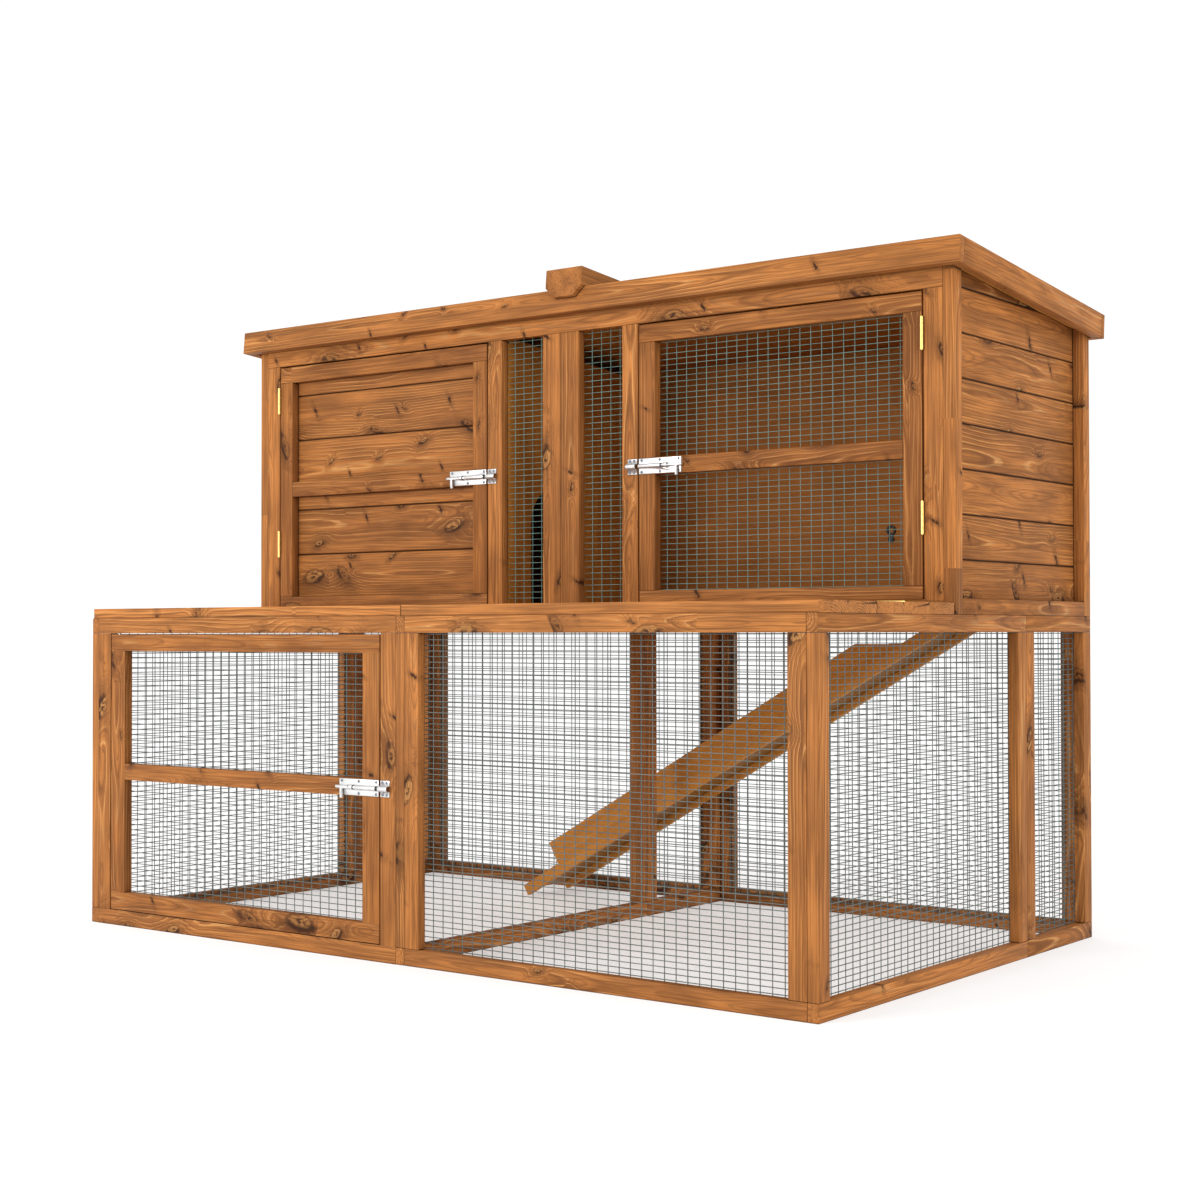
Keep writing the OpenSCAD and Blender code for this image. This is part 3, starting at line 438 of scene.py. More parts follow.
@dataclass(frozen=True)
class Metal:
    """A plated or galvanised metal with fine wear."""

    name: str
    slot: Slot
    colour: Colour
    dull: Colour
    metallic: float
    roughness: float
    grain: float
    wear: float

    def material(self) -> Material:
        """Builds the material.

        Returns:
            The material.
        """
        material, g = new_graph(self.name)
        place = g.here()
        spots = g.noise(place, self.grain, 4.0)
        cloud = g.noise(place, self.grain * 0.12, 2.0)
        worn = g.step(spots * 0.6 + cloud * 0.4, 0.42, 0.68) * self.wear
        g.surface({"Base Color": g.mix(worn, self.colour, self.dull), "Metallic": self.metallic,
                   "Roughness": worn * 0.25 + self.roughness,
                   "Normal": g.bump(spots, 0.05 * MM, 0.4)})
        return material


@dataclass(frozen=True)
class Felt:
    """Roofing felt with a mineral face."""

    name: str = "roof_felt"
    slot: Slot = Slot.FELT
    colour: Colour = (0.060, 0.062, 0.060)
    speck: Colour = (0.190, 0.190, 0.180)
    dust: Colour = (0.11, 0.11, 0.105)

    def material(self) -> Material:
        """Builds the material.

        Returns:
            The material.
        """
        material, g = new_graph(self.name)
        place = g.here()
        grit = g.noise(place, 900.0, 3.0)
        cloud = g.noise(place, 14.0, 3.0)
        colour = g.mix(g.step(grit, 0.52, 0.66), self.colour, self.speck)
        colour = g.mix(g.step(cloud, 0.4, 0.7) * 0.35, colour, self.dust)
        g.surface({"Base Color": colour, "Roughness": grit * 0.15 + 0.80,
                   "Normal": g.bump(grit, 0.8 * MM, 0.8)})
        return material


@dataclass(frozen=True)
class BlackPlastic:
    """Matt black plastic with a fine grain."""

    name: str = "black_plastic"
    slot: Slot = Slot.BLACK
    colour: Colour = (0.012, 0.012, 0.013)
    worn: Colour = (0.030, 0.030, 0.032)

    def material(self) -> Material:
        """Builds the material.

        Returns:
            The material.
        """
        material, g = new_graph(self.name)
        grain = g.noise(g.here(), 1500.0, 2.0)
        colour = g.mix(g.step(grain, 0.45, 0.75), self.colour, self.worn)
        g.surface({"Base Color": colour, "Roughness": grain * 0.2 + 0.38,
                   "Normal": g.bump(grain, 0.08 * MM, 0.4)})
        return material


@dataclass(frozen=True)
class Finishes:
    """Every finish of the hutch."""

    pine: Pine = Pine("stained_pine", Slot.STAINED_PINE)
    dark_pine: Pine = Pine("dark_pine", Slot.DARK_PINE, (0.112, 0.038, 0.011),
                           (0.450, 0.170, 0.043), (0.680, 0.330, 0.110))
    plywood: Plywood = Plywood()
    wire: Metal = Metal("galvanised_wire", Slot.WIRE, (0.105, 0.120, 0.108), (0.058, 0.066, 0.060),
                        0.10, 0.50, 700.0, 0.7)
    window_wire: Metal = Metal("window_wire", Slot.WIRE, (0.125, 0.240, 0.205),
                               (0.075, 0.125, 0.110), 0.05, 0.55, 700.0, 0.6)
    zinc: Metal = Metal("zinc_plate", Slot.ZINC, (0.670, 0.670, 0.662), (0.450, 0.455, 0.460),
                        0.75, 0.32, 500.0, 0.6)
    screw: Metal = Metal("screw_steel", Slot.ZINC, (0.200, 0.215, 0.240), (0.090, 0.098, 0.110),
                         0.55, 0.40, 900.0, 0.8)
    brass: Metal = Metal("brass", Slot.BRASS, (0.850, 0.575, 0.180), (0.630, 0.390, 0.120),
                         0.75, 0.34, 500.0, 0.4)
    felt: Felt = Felt()
    black: BlackPlastic = BlackPlastic()


Finish = Pine | Plywood | Metal | Felt | BlackPlastic


@cache
def material_of(finish: Finish) -> Material:
    """Returns the material of a finish, made once."""
    return finish.material()


# ---- Pieces from the frame ----


def link(name: str, mesh: Mesh) -> bpy.types.Object:
    """Puts a mesh in the scene as an object at the origin.

    Args:
        name: the object's name.
        mesh: its mesh.

    Returns:
        The object.
    """
    mesh.name = name
    piece = bpy.data.objects.new(name, mesh)
    bpy.context.scene.collection.objects.link(piece)
    return piece


def hand_over(name: str, mesh: Mesh, finish: Finish, body: Body, *nodes: str) -> None:
    """Makes a finished piece on its body, in place of nodes if they are given.

    Args:
        name: the piece's name.
        mesh: its mesh.
        finish: its finish.
        body: what carries it.
        nodes: the nodes that it stands for.
    """
    piece = link(name, mesh)
    mesh.materials.clear()
    mesh.materials.append(material_of(finish))
    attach(piece, body.value)
    if nodes:
        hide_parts(*nodes)
    LOG.info("%s: %d faces on %s", piece.name, len(mesh.polygons), body.value)


def run_tree(tree: bpy.types.NodeTree, values: dict[str, object], start: Mesh) -> Mesh:
    """Runs geometry nodes and returns what they make.

    Args:
        tree: the nodes.
        values: the inputs' values by identifier.
        start: the mesh that they start from.

    Returns:
        The new mesh.
    """
    carrier = link(start.name, start)
    modifier = carrier.modifiers.new(tree.name, "NODES")
    modifier.node_group = tree
    for key, value in values.items():
        modifier[key] = value
    depsgraph = bpy.context.evaluated_depsgraph_get()
    mesh = bpy.data.meshes.new_from_object(carrier.evaluated_get(depsgraph))
    bpy.data.objects.remove(carrier)
    return mesh


def mid_height(node: str) -> float:
    """Returns the height of a node's middle."""
    return sum(corner.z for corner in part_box(node)) / 2


def merged_copy(node: str) -> WorkMesh:
    """Copies a node's mesh, with its doubles merged and its flat faces whole.

    Args:
        node: the node's name.

    Returns:
        The working mesh.
    """
    bm = bmesh.new()
    bm.from_mesh(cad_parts[node].data)
    bmesh.ops.remove_doubles(bm, verts=bm.verts[:], dist=0.01 * MM)
    bmesh.ops.dissolve_limit(bm, angle_limit=0.01, verts=bm.verts[:], edges=bm.edges[:])
    return bm


def soften(bm: WorkMesh, width: float, least: float) -> None:
    """Rounds the outer edges of a mesh that turn by more than the least angle."""
    edges = [e for e in bm.edges if e.is_manifold and e.is_convex and e.calc_face_angle() > least]
    bmesh.ops.bevel(bm, geom=edges, offset=width, segments=2, profile=0.5, affect="EDGES",
                    clamp_overlap=True)


def smooth_mesh(bm: WorkMesh, angle: float) -> Mesh:
    """Turns a working mesh into a mesh that is smooth up to an angle.

    Args:
        bm: the working mesh, which is freed.
        angle: the angle in degrees above which an edge stays sharp.

    Returns:
        The mesh.
    """
    mesh = bpy.data.meshes.new("piece")
    bm.to_mesh(mesh)
    bm.free()
    mesh.shade_smooth()
    mesh.set_sharp_from_angle(angle=math.radians(angle))
    return mesh


@dataclass
class Boards:
    """How the boards of one set lie: stacked along an axis from these levels."""

    axis: Axis
    depth_axis: Axis
    face: float
    joints: list[float]
    bevel: float = 3 * MM


@dataclass
class TimberSet:
    """The timbers of one node, each with its own grain."""

    node: str
    finish: Finish
    boards: Boards | None = None
    body: Body = Body.FRAME
    turn: Matrix = field(default_factory=lambda: Matrix.Identity(3))
    jointed: tuple[int, ...] = ()
    tone: float = 0.0
    spread: float = 0.5
    edge: float = 1.0 * MM
    inside: Vector | None = None
    ROUNDED_FROM = 0.7
    SMOOTH_TO = 35.0
    NEAR_JOINT = 0.3 * MM
    NEAR_DEPTH = 0.5 * MM

    def islands(self, bm: WorkMesh) -> list[list[bmesh.types.BMFace]]:
        """Sorts the faces by timber.

        Args:
            bm: the set's mesh.

        Returns:
            The faces of each separate timber.
        """
        seen: set[int] = set()
        groups = []
        for first in bm.faces:
            if first.index in seen:
                continue
            seen.add(first.index)
            queue, group = [first], []
            while queue:
                face = queue.pop()
                group.append(face)
                for edge in face.edges:
                    for other in edge.link_faces:
                        if other.index not in seen:
                            seen.add(other.index)
                            queue.append(other)
            groups.append(group)
        return groups

    def cut_at_joints(self, bm: WorkMesh) -> None:
        """Cuts the mesh along the boards' joints, so that no face spans two boards.

        Args:
            bm: the set's mesh.
        """
        normal = Vector((0, 0, 0))
        normal[self.boards.axis.value] = 1.0
        for level in self.boards.joints:
            geometry = bm.verts[:] + bm.edges[:] + bm.faces[:]
            bmesh.ops.bisect_plane(bm, geom=geometry, dist=1e-6, plane_co=normal * level,
                                   plane_no=normal)

    def in_groove(self, place: Vector) -> float:
        """Tells whether a place is at the bottom of the groove between two boards.

        Args:
            place: the place.

        Returns:
            1 at the bottom of a groove, and 0 elsewhere.
        """
        if not self.boards:
            return 0.0
        level = place[self.boards.axis.value]
        depth = abs(place[self.boards.depth_axis.value] - self.boards.face)
        near = min(abs(level - joint) for joint in self.boards.joints) < self.NEAR_JOINT
        return 1.0 if near and abs(depth - self.boards.bevel) < self.NEAR_DEPTH else 0.0

    def grain(self, faces: list[bmesh.types.BMFace], dice: random.Random, jointed: bool,
              layers: tuple) -> None:
        """Gives one timber its grain coordinates, its tone and its joints.

        Args:
            faces: the timber's faces.
            dice: the source of its chance numbers.
            jointed: whether it is glued from short lengths.
            layers: the two loop layers to fill.
        """
        places = [self.turn @ v.co for face in faces for v in face.verts]
        low = [min(p[i] for p in places) for i in range(3)]
        high = [max(p[i] for p in places) for i in range(3)]
        order = sorted(range(3), key=lambda i: low[i] - high[i])
        middle = [(a + b) / 2 for a, b in zip(low, high)]
        start = dice.uniform(0, 60)
        pith_v = dice.uniform(-0.022, 0.022)
        pith_w = dice.uniform(0.016, 0.055)
        tone = self.tone + dice.uniform(-self.spread, self.spread)
        grain, timber = layers
        for face in faces:
            plain = self.inside is not None and face.normal.dot(self.inside) > 0.5
            for loop in face.loops:
                place = self.turn @ loop.vert.co
                along, wide, thin = (place[i] - middle[i] for i in order)
                loop[grain] = Vector((start + along, wide + pith_v, thin + pith_w))
                # The second number marks groove bottoms, where the finishes paint shade; kind -1
                # marks inside faces, which the pine paints plain and the plywood darkens with
                # painted shade
                kind = -1.0 if plain else float(jointed)
                loop[timber] = Vector((tone, self.in_groove(loop.vert.co), kind))

    def build(self) -> None:
        """Builds the timbers in place of the node."""
        bm = merged_copy(self.node)
        soften(bm, self.edge, self.ROUNDED_FROM)
        if self.boards:
            self.cut_at_joints(bm)
        bm.faces.index_update()
        layers = tuple(bm.loops.layers.float_vector.new(name) for name in ("grain", "timber"))
        dice = random.Random(self.node)
        for number, faces in enumerate(self.islands(bm)):
            if not self.boards:
                self.grain(faces, dice, number in self.jointed, layers)
                continue
            sets: dict[int, list] = {}
            for face in faces:
                level = face.calc_center_median()[self.boards.axis.value]
                sets.setdefault(sum(level > joint for joint in self.boards.joints), []).append(face)
            for key in sorted(sets):
                self.grain(sets[key], dice, False, layers)
        hand_over(f"{self.node}_timber", smooth_mesh(bm, self.SMOOTH_TO), self.finish, self.body,
                  self.node)


@dataclass
class Hardware:
    """The metal or plastic of one node, with its edges eased."""

    node: str
    finish: Finish
    body: Body = Body.FRAME
    edge: float = 0.25 * MM
    ROUNDED_FROM = 0.9
    SMOOTH_TO = 38.0

    def build(self) -> None:
        """Builds the hardware in place of the node."""
        bm = merged_copy(self.node)
        if self.edge:
            soften(bm, self.edge, self.ROUNDED_FROM)
        hand_over(f"{self.node}_metal", smooth_mesh(bm, self.SMOOTH_TO), self.finish, self.body,
                  self.node)


# ---- Wire mesh ----


class WireTree:
    """Geometry nodes that weave a flat net of welded wires in the XZ plane."""

    INPUTS = (*((name, "Float") for name in ("Width", "Height", "Pitch Across", "Pitch Up",
                                             "Wire Radius", "Waviness", "Seed")),
              ("Finish", "Material"))
    SIDES = 6
    POINTS = 14
    BEND_SCALE = 14.0
    BEHIND = 2.9
    SINK = 0.25

    def __init__(self) -> None:
        """Builds the tree once."""
        self.tree, self.keys = new_tree("welded_mesh", self.INPUTS)
        g = Graph(self.tree)
        given = g.add("NodeGroupInput").outputs
        ring = g.out("GeometryNodeCurvePrimitiveCircle",
                     {"Resolution": self.SIDES, "Radius": given["Wire Radius"]})
        level = self.layer(g, given, "Width", "Height", "Pitch Up", False)
        upright = self.layer(g, given, "Height", "Width", "Pitch Across", True)
        both = g.add("GeometryNodeJoinGeometry")
        for wires in (level, upright):
            g.put(both.inputs[0], wires)
        tube = g.out("GeometryNodeCurveToMesh", {"Curve": both.outputs[0], "Profile Curve": ring,
                                                 "Fill Caps": True})
        real = g.out("GeometryNodeRealizeInstances", {0: tube})
        smooth = g.out("GeometryNodeSetShadeSmooth", {0: real})
        dressed = g.out("GeometryNodeSetMaterial",
                        {"Geometry": smooth, "Material": given["Finish"]})
        g.add("NodeGroupOutput", {0: dressed})

    def layer(self, g: Graph, given: object, length: str, over: str, pitch: str, upright: bool
              ) -> Value:
        """Lays one layer of parallel wires.

        Args:
            g: the tree's graph.
            given: the tree's inputs.
            length: the input that sets the wires' length.
            over: the input that sets how far the layer spreads.
            pitch: the input that sets their spacing.
            upright: whether the wires stand, behind the level ones.

        Returns:
            The wires' curves.
        """
        room, stride, radius = (Value(g, given[name]) for name in (over, pitch, "Wire Radius"))
        count = g.math("FLOOR", room / stride) + 1.0
        margin = (room - (count - 1.0) * stride) / 2.0
        depth = radius * (self.BEHIND if upright else 1.0)
        if upright:
            end, first = g.join(0.0, 0.0, given[length]), g.join(margin, depth, 0.0)
            offset, only = g.join(stride, 0.0, 0.0), (1.0, self.SINK, 0.0)
        else:
            end, first = g.join(given[length], 0.0, 0.0), g.join(0.0, depth, margin)
            offset, only = g.join(0.0, 0.0, stride), (0.0, self.SINK, 1.0)
        line = g.out("GeometryNodeCurvePrimitiveLine", {"End": end})
        wire = g.out("GeometryNodeResampleCurve", {"Curve": line, "Count": self.POINTS})
        rows = g.out("GeometryNodeMeshLine",
                     {"Count": count, "Start Location": first, "Offset": offset})
        laid = g.out("GeometryNodeInstanceOnPoints", {"Points": rows, "Instance": wire})
        real = g.out("GeometryNodeRealizeInstances", {0: laid})
        drift = g.out("ShaderNodeTexNoise", {"Vector": g.out("GeometryNodeInputPosition"),
                                             "W": given["Seed"], "Scale": self.BEND_SCALE}, "Color",
                      noise_dimensions="4D")
        swing = g.vector("SUBTRACT", drift, (0.5, 0.5, 0.5))
        shift = g.vector("MULTIPLY", g.vector("MULTIPLY", swing, only),
                         g.join(*[given["Waviness"]] * 3))
        return g.out("GeometryNodeSetPosition", {"Geometry": real, "Offset": shift})


@dataclass(frozen=True)
class Gauge:
    """How far apart a net's wires are, across and up, and how thick."""

    across: float = 24.6 * MM
    up: float = 10.75 * MM
    wire_r: float = 0.92 * MM
    wave: float = 0.30 * MM


@dataclass
class Net:
    """One flat net: its low corner, its size, the way that it faces and its gauge."""

    corner: Vector
    width: float
    height: float
    along: Axis = Axis.X
    back: float = 1.0
    gauge: Gauge = Gauge()

    def mesh(self, tree: WireTree, finish: Finish, seed: int) -> Mesh:
        """Runs the tree and returns the net's mesh in its place.

        Args:
            tree: the wires' tree.
            finish: the wires' finish.
            seed: the number that sets their small bends.

        Returns:
            The mesh.
        """
        gauge = self.gauge
        values = (self.width, self.height, gauge.across, gauge.up, gauge.wire_r, gauge.wave,
                  float(seed), material_of(finish))
        keyed = {tree.keys[name]: value for (name, _), value in zip(tree.INPUTS, values)}
        mesh = run_tree(tree.tree, keyed, bpy.data.meshes.new("net"))
        if self.along is Axis.X:
            turn = Matrix.Diagonal((1.0, self.back, 1.0, 1.0))
        else:
            turn = Matrix(((0, self.back, 0, 0), (1, 0, 0, 0), (0, 0, 1, 0), (0, 0, 0, 1)))
        mesh.transform(Matrix.Translation(self.corner) @ turn)
        if turn.determinant() < 0:
            mesh.flip_normals()
        return mesh


@dataclass
class NetSet:
    """The nets that stand for one node."""

    node: str
    nets: list[Net]
    finish: Finish
    body: Body = Body.FRAME
    SMOOTH_TO = 60.0

    def build(self, tree: WireTree) -> None:
        """Builds the nets as one mesh.

        Args:
            tree: the wires' tree.
        """
        bm = bmesh.new()
        for number, net in enumerate(self.nets):
            bm.from_mesh(net.mesh(tree, self.finish, number + len(self.node)))
        hand_over(f"{self.node}_wires", smooth_mesh(bm, self.SMOOTH_TO), self.finish, self.body,
                  self.node)


@dataclass(frozen=True)
class Rails:
    """The widths of a door's stiles and of its rails."""

    stile: float
    low: float
    high: float
    middle: float = 35 * MM


@dataclass
class WireNets:
    """Every net of the run and the hutch."""

    finishes: Finishes
    stile: float = 37 * MM
    rail: float = 33 * MM
    lap: float = 11 * MM
    strip_w: float = 115 * MM
    strip_lap: float = 12 * MM
    run_door: Rails = Rails(45 * MM, 38 * MM, 36 * MM)
    hutch_door: Rails = Rails(40 * MM, 25 * MM, 37 * MM)
    run_gauge: Gauge = Gauge()
    run_door_gauge: Gauge = Gauge(up=12.15 * MM)
    door_gauge: Gauge = Gauge(up=11.86 * MM, wire_r=0.62 * MM)
    strip_gauge: Gauge = Gauge(up=12.78 * MM, wire_r=0.62 * MM)

    def wall(self, panel: str, face: float, back: float) -> Net:
        """Returns the net of an end wall's panel.

        Args:
            panel: the panel's node.
            face: where the timbers' face lies along X.
            back: the way from the timbers to the net along X.

        Returns:
            The net.
        """
        low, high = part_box(panel)
        side, foot = self.stile - self.lap, self.rail - self.lap
        return Net(Vector((face, low.y + side, low.z + foot)), high.y - low.y - 2 * side,
                   high.z - low.z - 2 * foot, Axis.Y, back, self.run_gauge)

    def window(self, low: Vector, high: Vector, y: float, back: float, gauge: Gauge) -> Net:
        """Returns the net of a window between two corners, on the timbers' face at y."""
        corner = Vector((low.x - self.lap, y, low.z - self.lap))
        return Net(corner, high.x - low.x + 2 * self.lap, high.z - low.z + 2 * self.lap, Axis.X,
                   back, gauge)

    def halves(self, door: str, bolt: str, rails: Rails, gauge: Gauge) -> list[Net]:
        """Returns the nets of the two windows of a door.

        Args:
            door: the node of the door's frame.
            bolt: the node of the plate in the middle of its middle rail.
            rails: the widths of its timbers.
            gauge: the nets' gauge.

        Returns:
            The two nets.
        """
        low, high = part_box(door)
        middle = mid_height(bolt)
        x0, x1 = low.x + rails.stile, high.x - rails.stile
        spans = ((low.z + rails.low, middle - rails.middle / 2),
                 (middle + rails.middle / 2, high.z - rails.high))
        return [self.window(Vector((x0, 0, a)), Vector((x1, 0, b)), high.y, 1.0, gauge)
                for a, b in spans]

    def build(self) -> None:
        """Builds the nets of every node that has them."""
        tree = WireTree()
        wire, thin = self.finishes.wire, self.finishes.window_wire
        sets = []
        for side, end, back in (("left", 1, 1.0), ("right", 0, -1.0)):
            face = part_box(f"run_{side}_front_panel")[end].x
            nets = [self.wall(f"run_{side}_{part}_panel", face, back) for part in ("front", "rear")]
            sets.append(NetSet(f"run_{side}_wall_mesh", nets, wire))
        low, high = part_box("run_front_mesh_panel")
        inset = Vector((self.stile, 0, self.rail))
        back_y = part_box("run_back_panels")[0].y
        bays = (tuple(corner.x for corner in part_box("run_door_surround")), (low.x, high.x))
        sets.append(NetSet("run_back_mesh", [
            self.window(Vector((a, 0, 0)) + inset, Vector((b, 0, high.z)) - inset, back_y, -1.0,
                        self.run_gauge) for a, b in bays], wire))
        sets.append(NetSet("run_front_mesh", [
            self.window(low + inset, high - inset, high.y, 1.0, self.run_gauge)], wire))
        sets.append(NetSet("run_door_mesh", self.halves(
            "run_door_frame", "run_bolt_plate", self.run_door, self.run_door_gauge), wire,
            Body.RUN_DOOR))
        low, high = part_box("hutch_window_mesh")
        strips = []
        for x in (low.x + self.strip_lap, high.x - self.strip_lap - self.strip_w):
            strips.append(self.window(Vector((x, 0, low.z + self.strip_lap)),
                                      Vector((x + self.strip_w, 0, high.z - self.strip_lap)),
                                      low.y, 1.0, self.strip_gauge))
        sets.append(NetSet("hutch_window_mesh", strips, thin))
        sets.append(NetSet("right_door_mesh", self.halves(
            "right_door_frame", "right_bolt_plate", self.hutch_door, self.door_gauge), thin,
            Body.RIGHT_DOOR))
        for nets in sets:
            nets.build(tree)


# ---- Screws ----


@dataclass
class Screw:
    """Where one screw sits and the way that its head faces."""

    place: Vector
    facing: Vector
    size: float


class ScrewHead:
    """A domed head with a cross cut in it, standing up along Z. Its numbers are millimetres."""

    SIDES = 12
    RINGS = ((3.3, 0.0), (3.25, 0.35), (2.8, 0.85), (2.1, 1.15))
    ARM = ((1.55, -0.34), (1.55, 0.34), (0.40, 0.40))
    CROSS_HEIGHTS = (1.25, 0.45)

    def build(self) -> bpy.types.Object:
        """Builds one head as a template.

        Returns:
            The head.
        """
        bm = bmesh.new()
        loops = []
        angles = [math.radians(30 * k - 15) for k in range(self.SIDES)]
        for radius, height in self.RINGS:
            loops.append([bm.verts.new((radius * MM * math.cos(a), radius * MM * math.sin(a),
                                        height * MM)) for a in angles])
        for height in self.CROSS_HEIGHTS:
            loop = []
            for arm in range(4):
                turn = Matrix.Rotation(math.radians(90 * arm), 3, "Z")
                for x, y in self.ARM:
                    loop.append(bm.verts.new(turn @ Vector((x * MM, y * MM, height * MM))))
            loops.append(loop)
        for low, high in zip(loops, loops[1:]):
            for k in range(self.SIDES):
                after = (k + 1) % self.SIDES
                bm.faces.new((low[k], low[after], high[after], high[k]))
        bm.faces.new(loops[-1])
        bm.faces.new(loops[0][::-1])
        bmesh.ops.recalc_face_normals(bm, faces=bm.faces[:])
        return link("screw_head", smooth_mesh(bm, 50))


class ScrewTree:
    """Geometry nodes that set a head on each point of a mesh."""

    INPUTS = (("Points", "Geometry"), ("Head", "Object"), ("Seed", "Int"), ("Finish", "Material"))
    MOST_TURN = 1.5

    def __init__(self) -> None:
        """Builds the tree once."""
        self.tree, self.keys = new_tree("screws", self.INPUTS)
        g = Graph(self.tree)
        given = g.add("NodeGroupInput").outputs
        head = g.out("GeometryNodeObjectInfo", {"Object": given["Head"]}, "Geometry")
        facing, size = (
            g.out("GeometryNodeInputNamedAttribute", {"Name": name}, "Attribute", data_type=kind)
            for name, kind in (("facing", "FLOAT_VECTOR"), ("size", "FLOAT")))
        align = g.out("FunctionNodeAlignRotationToVector", {"Vector": facing}, axis="Z")
        spin = g.out("FunctionNodeRandomValue", {"Seed": given["Seed"], 2: 0.0, 3: self.MOST_TURN},
                     1, data_type="FLOAT")
        around = g.out("FunctionNodeAxisAngleToRotation", {"Axis": (0.0, 0.0, 1.0), "Angle": spin})
        turn = g.out("FunctionNodeRotateRotation", {"Rotation": align, "Rotate By": around},
                     rotation_space="LOCAL")
        points = g.out("GeometryNodeMeshToPoints", {"Mesh": given["Points"]})
        laid = g.out("GeometryNodeInstanceOnPoints", {"Points": points, "Instance": head,
                                                      "Rotation": turn, "Scale": size})
        real = g.out("GeometryNodeRealizeInstances", {0: laid})
        dressed = g.out("GeometryNodeSetMaterial", {"Geometry": real, "Material": given["Finish"]})
        g.add("NodeGroupOutput", {0: dressed})


@dataclass
class Screws:
    """All screws, one mesh for each body."""

    finishes: Finishes
    sets: dict[Body, list[Screw]] = field(default_factory=dict)

    def put(self, body: Body, place: Triple, facing: Triple, size: float) -> None:
        """Adds a screw on a body, its size against a 6.6 mm head."""
        self.sets.setdefault(body, []).append(Screw(Vector(place), Vector(facing), size))

    def build(self) -> None:
        """Builds the screws of every body."""
        head = ScrewHead().build()
        tree = ScrewTree()
        finish = self.finishes.screw
        for seed, (body, screws) in enumerate(self.sets.items()):
            points = bpy.data.meshes.new("screw_points")
            points.from_pydata([s.place for s in screws], [], [])
            points.attributes.new("facing", "FLOAT_VECTOR", "POINT")
            points.attributes.new("size", "FLOAT", "POINT")
            for number, screw in enumerate(screws):
                points.attributes["facing"].data[number].vector = screw.facing
                points.attributes["size"].data[number].value = screw.size
            values = {tree.keys[key]: value
                      for key, value in (("Head", head), ("Seed", seed),
                                         ("Finish", material_of(finish)))}
            hand_over(f"{body.value}_screws", run_tree(tree.tree, values, points), finish, body)
        bpy.data.objects.remove(head)


# ---- Sub-assemblies ----


@dataclass
class Run:
    """The run's panels and its door."""

    finishes: Finishes

    def build(self) -> None:
        """Builds the panels, the door and its pins."""
        f = self.finishes
        walls = [f"run_{side}_{part}_panel" for side in ("left", "divider", "right")
                 for part in ("front", "rear")]
        for node in (*walls, "run_back_panels", "run_front_mesh_panel", "run_door_surround"):
            # Painted light: the panels of the right end wall take a lighter tone than the others
            TimberSet(node, f.pine, tone=0.65 if "right" in node else 0.15,
                      edge=1.4 * MM).build()
        TimberSet("run_door_frame", f.dark_pine, body=Body.RUN_DOOR, tone=0.25).build()
        Hardware("run_door_pivot_pins", f.zinc).build()


@dataclass
class Lids:
    """The two lids over the front of the run."""

    finishes: Finishes
    count: int = 5

    def build(self) -> None:
        """Builds the lids' boards and battens."""
        f = self.finishes
        for node, body in (("left_lid", Body.LEFT_LID), ("right_lid", Body.RIGHT_LID)):
            low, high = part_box(f"{node}_boards")
            step = (high.y - low.y) / self.count
            joints = [low.y + k * step for k in range(1, self.count)]
            boards = Boards(Axis.Y, Axis.Z, high.z, joints)
            TimberSet(f"{node}_boards", f.pine, boards, body, tone=0.78).build()
            TimberSet(f"{node}_battens", f.pine, body=body).build()


@dataclass
class Hutch:
    """The hutch's frame, walls, floor and partition."""

    finishes: Finishes
    board: float = 86 * MM
    first: float = 691 * MM
    count: int = 8

    def build(self) -> None:
        """Builds the hutch's timbers, its floor and the hook."""
        f = self.finishes
        TimberSet("hutch_corner_posts", f.pine, jointed=(0, 1, 2, 3), tone=0.6,
                  spread=0.2).build()
        TimberSet("hutch_front_frame", f.pine, tone=0.7, spread=0.3).build()
        TimberSet("hutch_centre_post", f.pine, tone=0.1, spread=0.3).build()
        TimberSet("hutch_side_rails", f.pine).build()
        TimberSet("hutch_back_frame", f.pine).build()
        joints = [self.first + k * self.board for k in range(1, self.count)]
        sides = (("hutch_left_side_boards", 0), ("hutch_right_side_boards", 1))
        for node, end in sides:
            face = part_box(node)[end].x
            TimberSet(node, f.pine, Boards(Axis.Z, Axis.X, face, joints)).build()
        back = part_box("hutch_back_boards")[1].y
        TimberSet("hutch_back_boards", f.dark_pine, Boards(Axis.Z, Axis.Y, back, joints),
                  inside=Vector((0, -1, 0))).build()
        TimberSet("hutch_partition", f.plywood, tone=-0.3, edge=0.5 * MM).build()
        TimberSet("hutch_floor", f.plywood, edge=0.5 * MM).build()
        Hardware("bottle_hook", f.black, edge=0.6 * MM).build()


@dataclass
class Doors:
    """The hutch's two doors."""

    finishes: Finishes
    joints: tuple[float, ...] = (0.828, 0.935, 1.103, 1.210)

    def build(self) -> None:
        """Builds the doors' frames and the left door's boards."""
        f = self.finishes
        TimberSet("left_door_frame", f.dark_pine, body=Body.LEFT_DOOR, spread=0.12).build()
        TimberSet("right_door_frame", f.dark_pine, body=Body.RIGHT_DOOR, spread=0.25).build()
        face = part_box("left_door_boards")[0].y
        boards = Boards(Axis.Z, Axis.Y, face, list(self.joints))
        TimberSet("left_door_boards", f.pine, boards, Body.LEFT_DOOR, tone=-0.1, spread=0.3).build()


@dataclass
class Roof:
    """The roof's deck, felt, fascia boards and batten."""

    finishes: Finishes
    slope: float = 5.17

    def build(self) -> None:
        """Builds the roof's pieces in its own plane."""
        f = self.finishes
        turn = Matrix.Rotation(math.radians(self.slope), 3, "X")
        TimberSet("roof_fascia", f.pine, turn=turn, tone=0.1, spread=0.3).build()
        TimberSet("roof_batten", f.pine, turn=turn, tone=0.1).build()
        TimberSet("roof_deck", f.plywood, turn=turn, tone=-0.6, edge=0.5 * MM).build()
        Hardware("roof_felt", f.felt, edge=0.8 * MM).build()


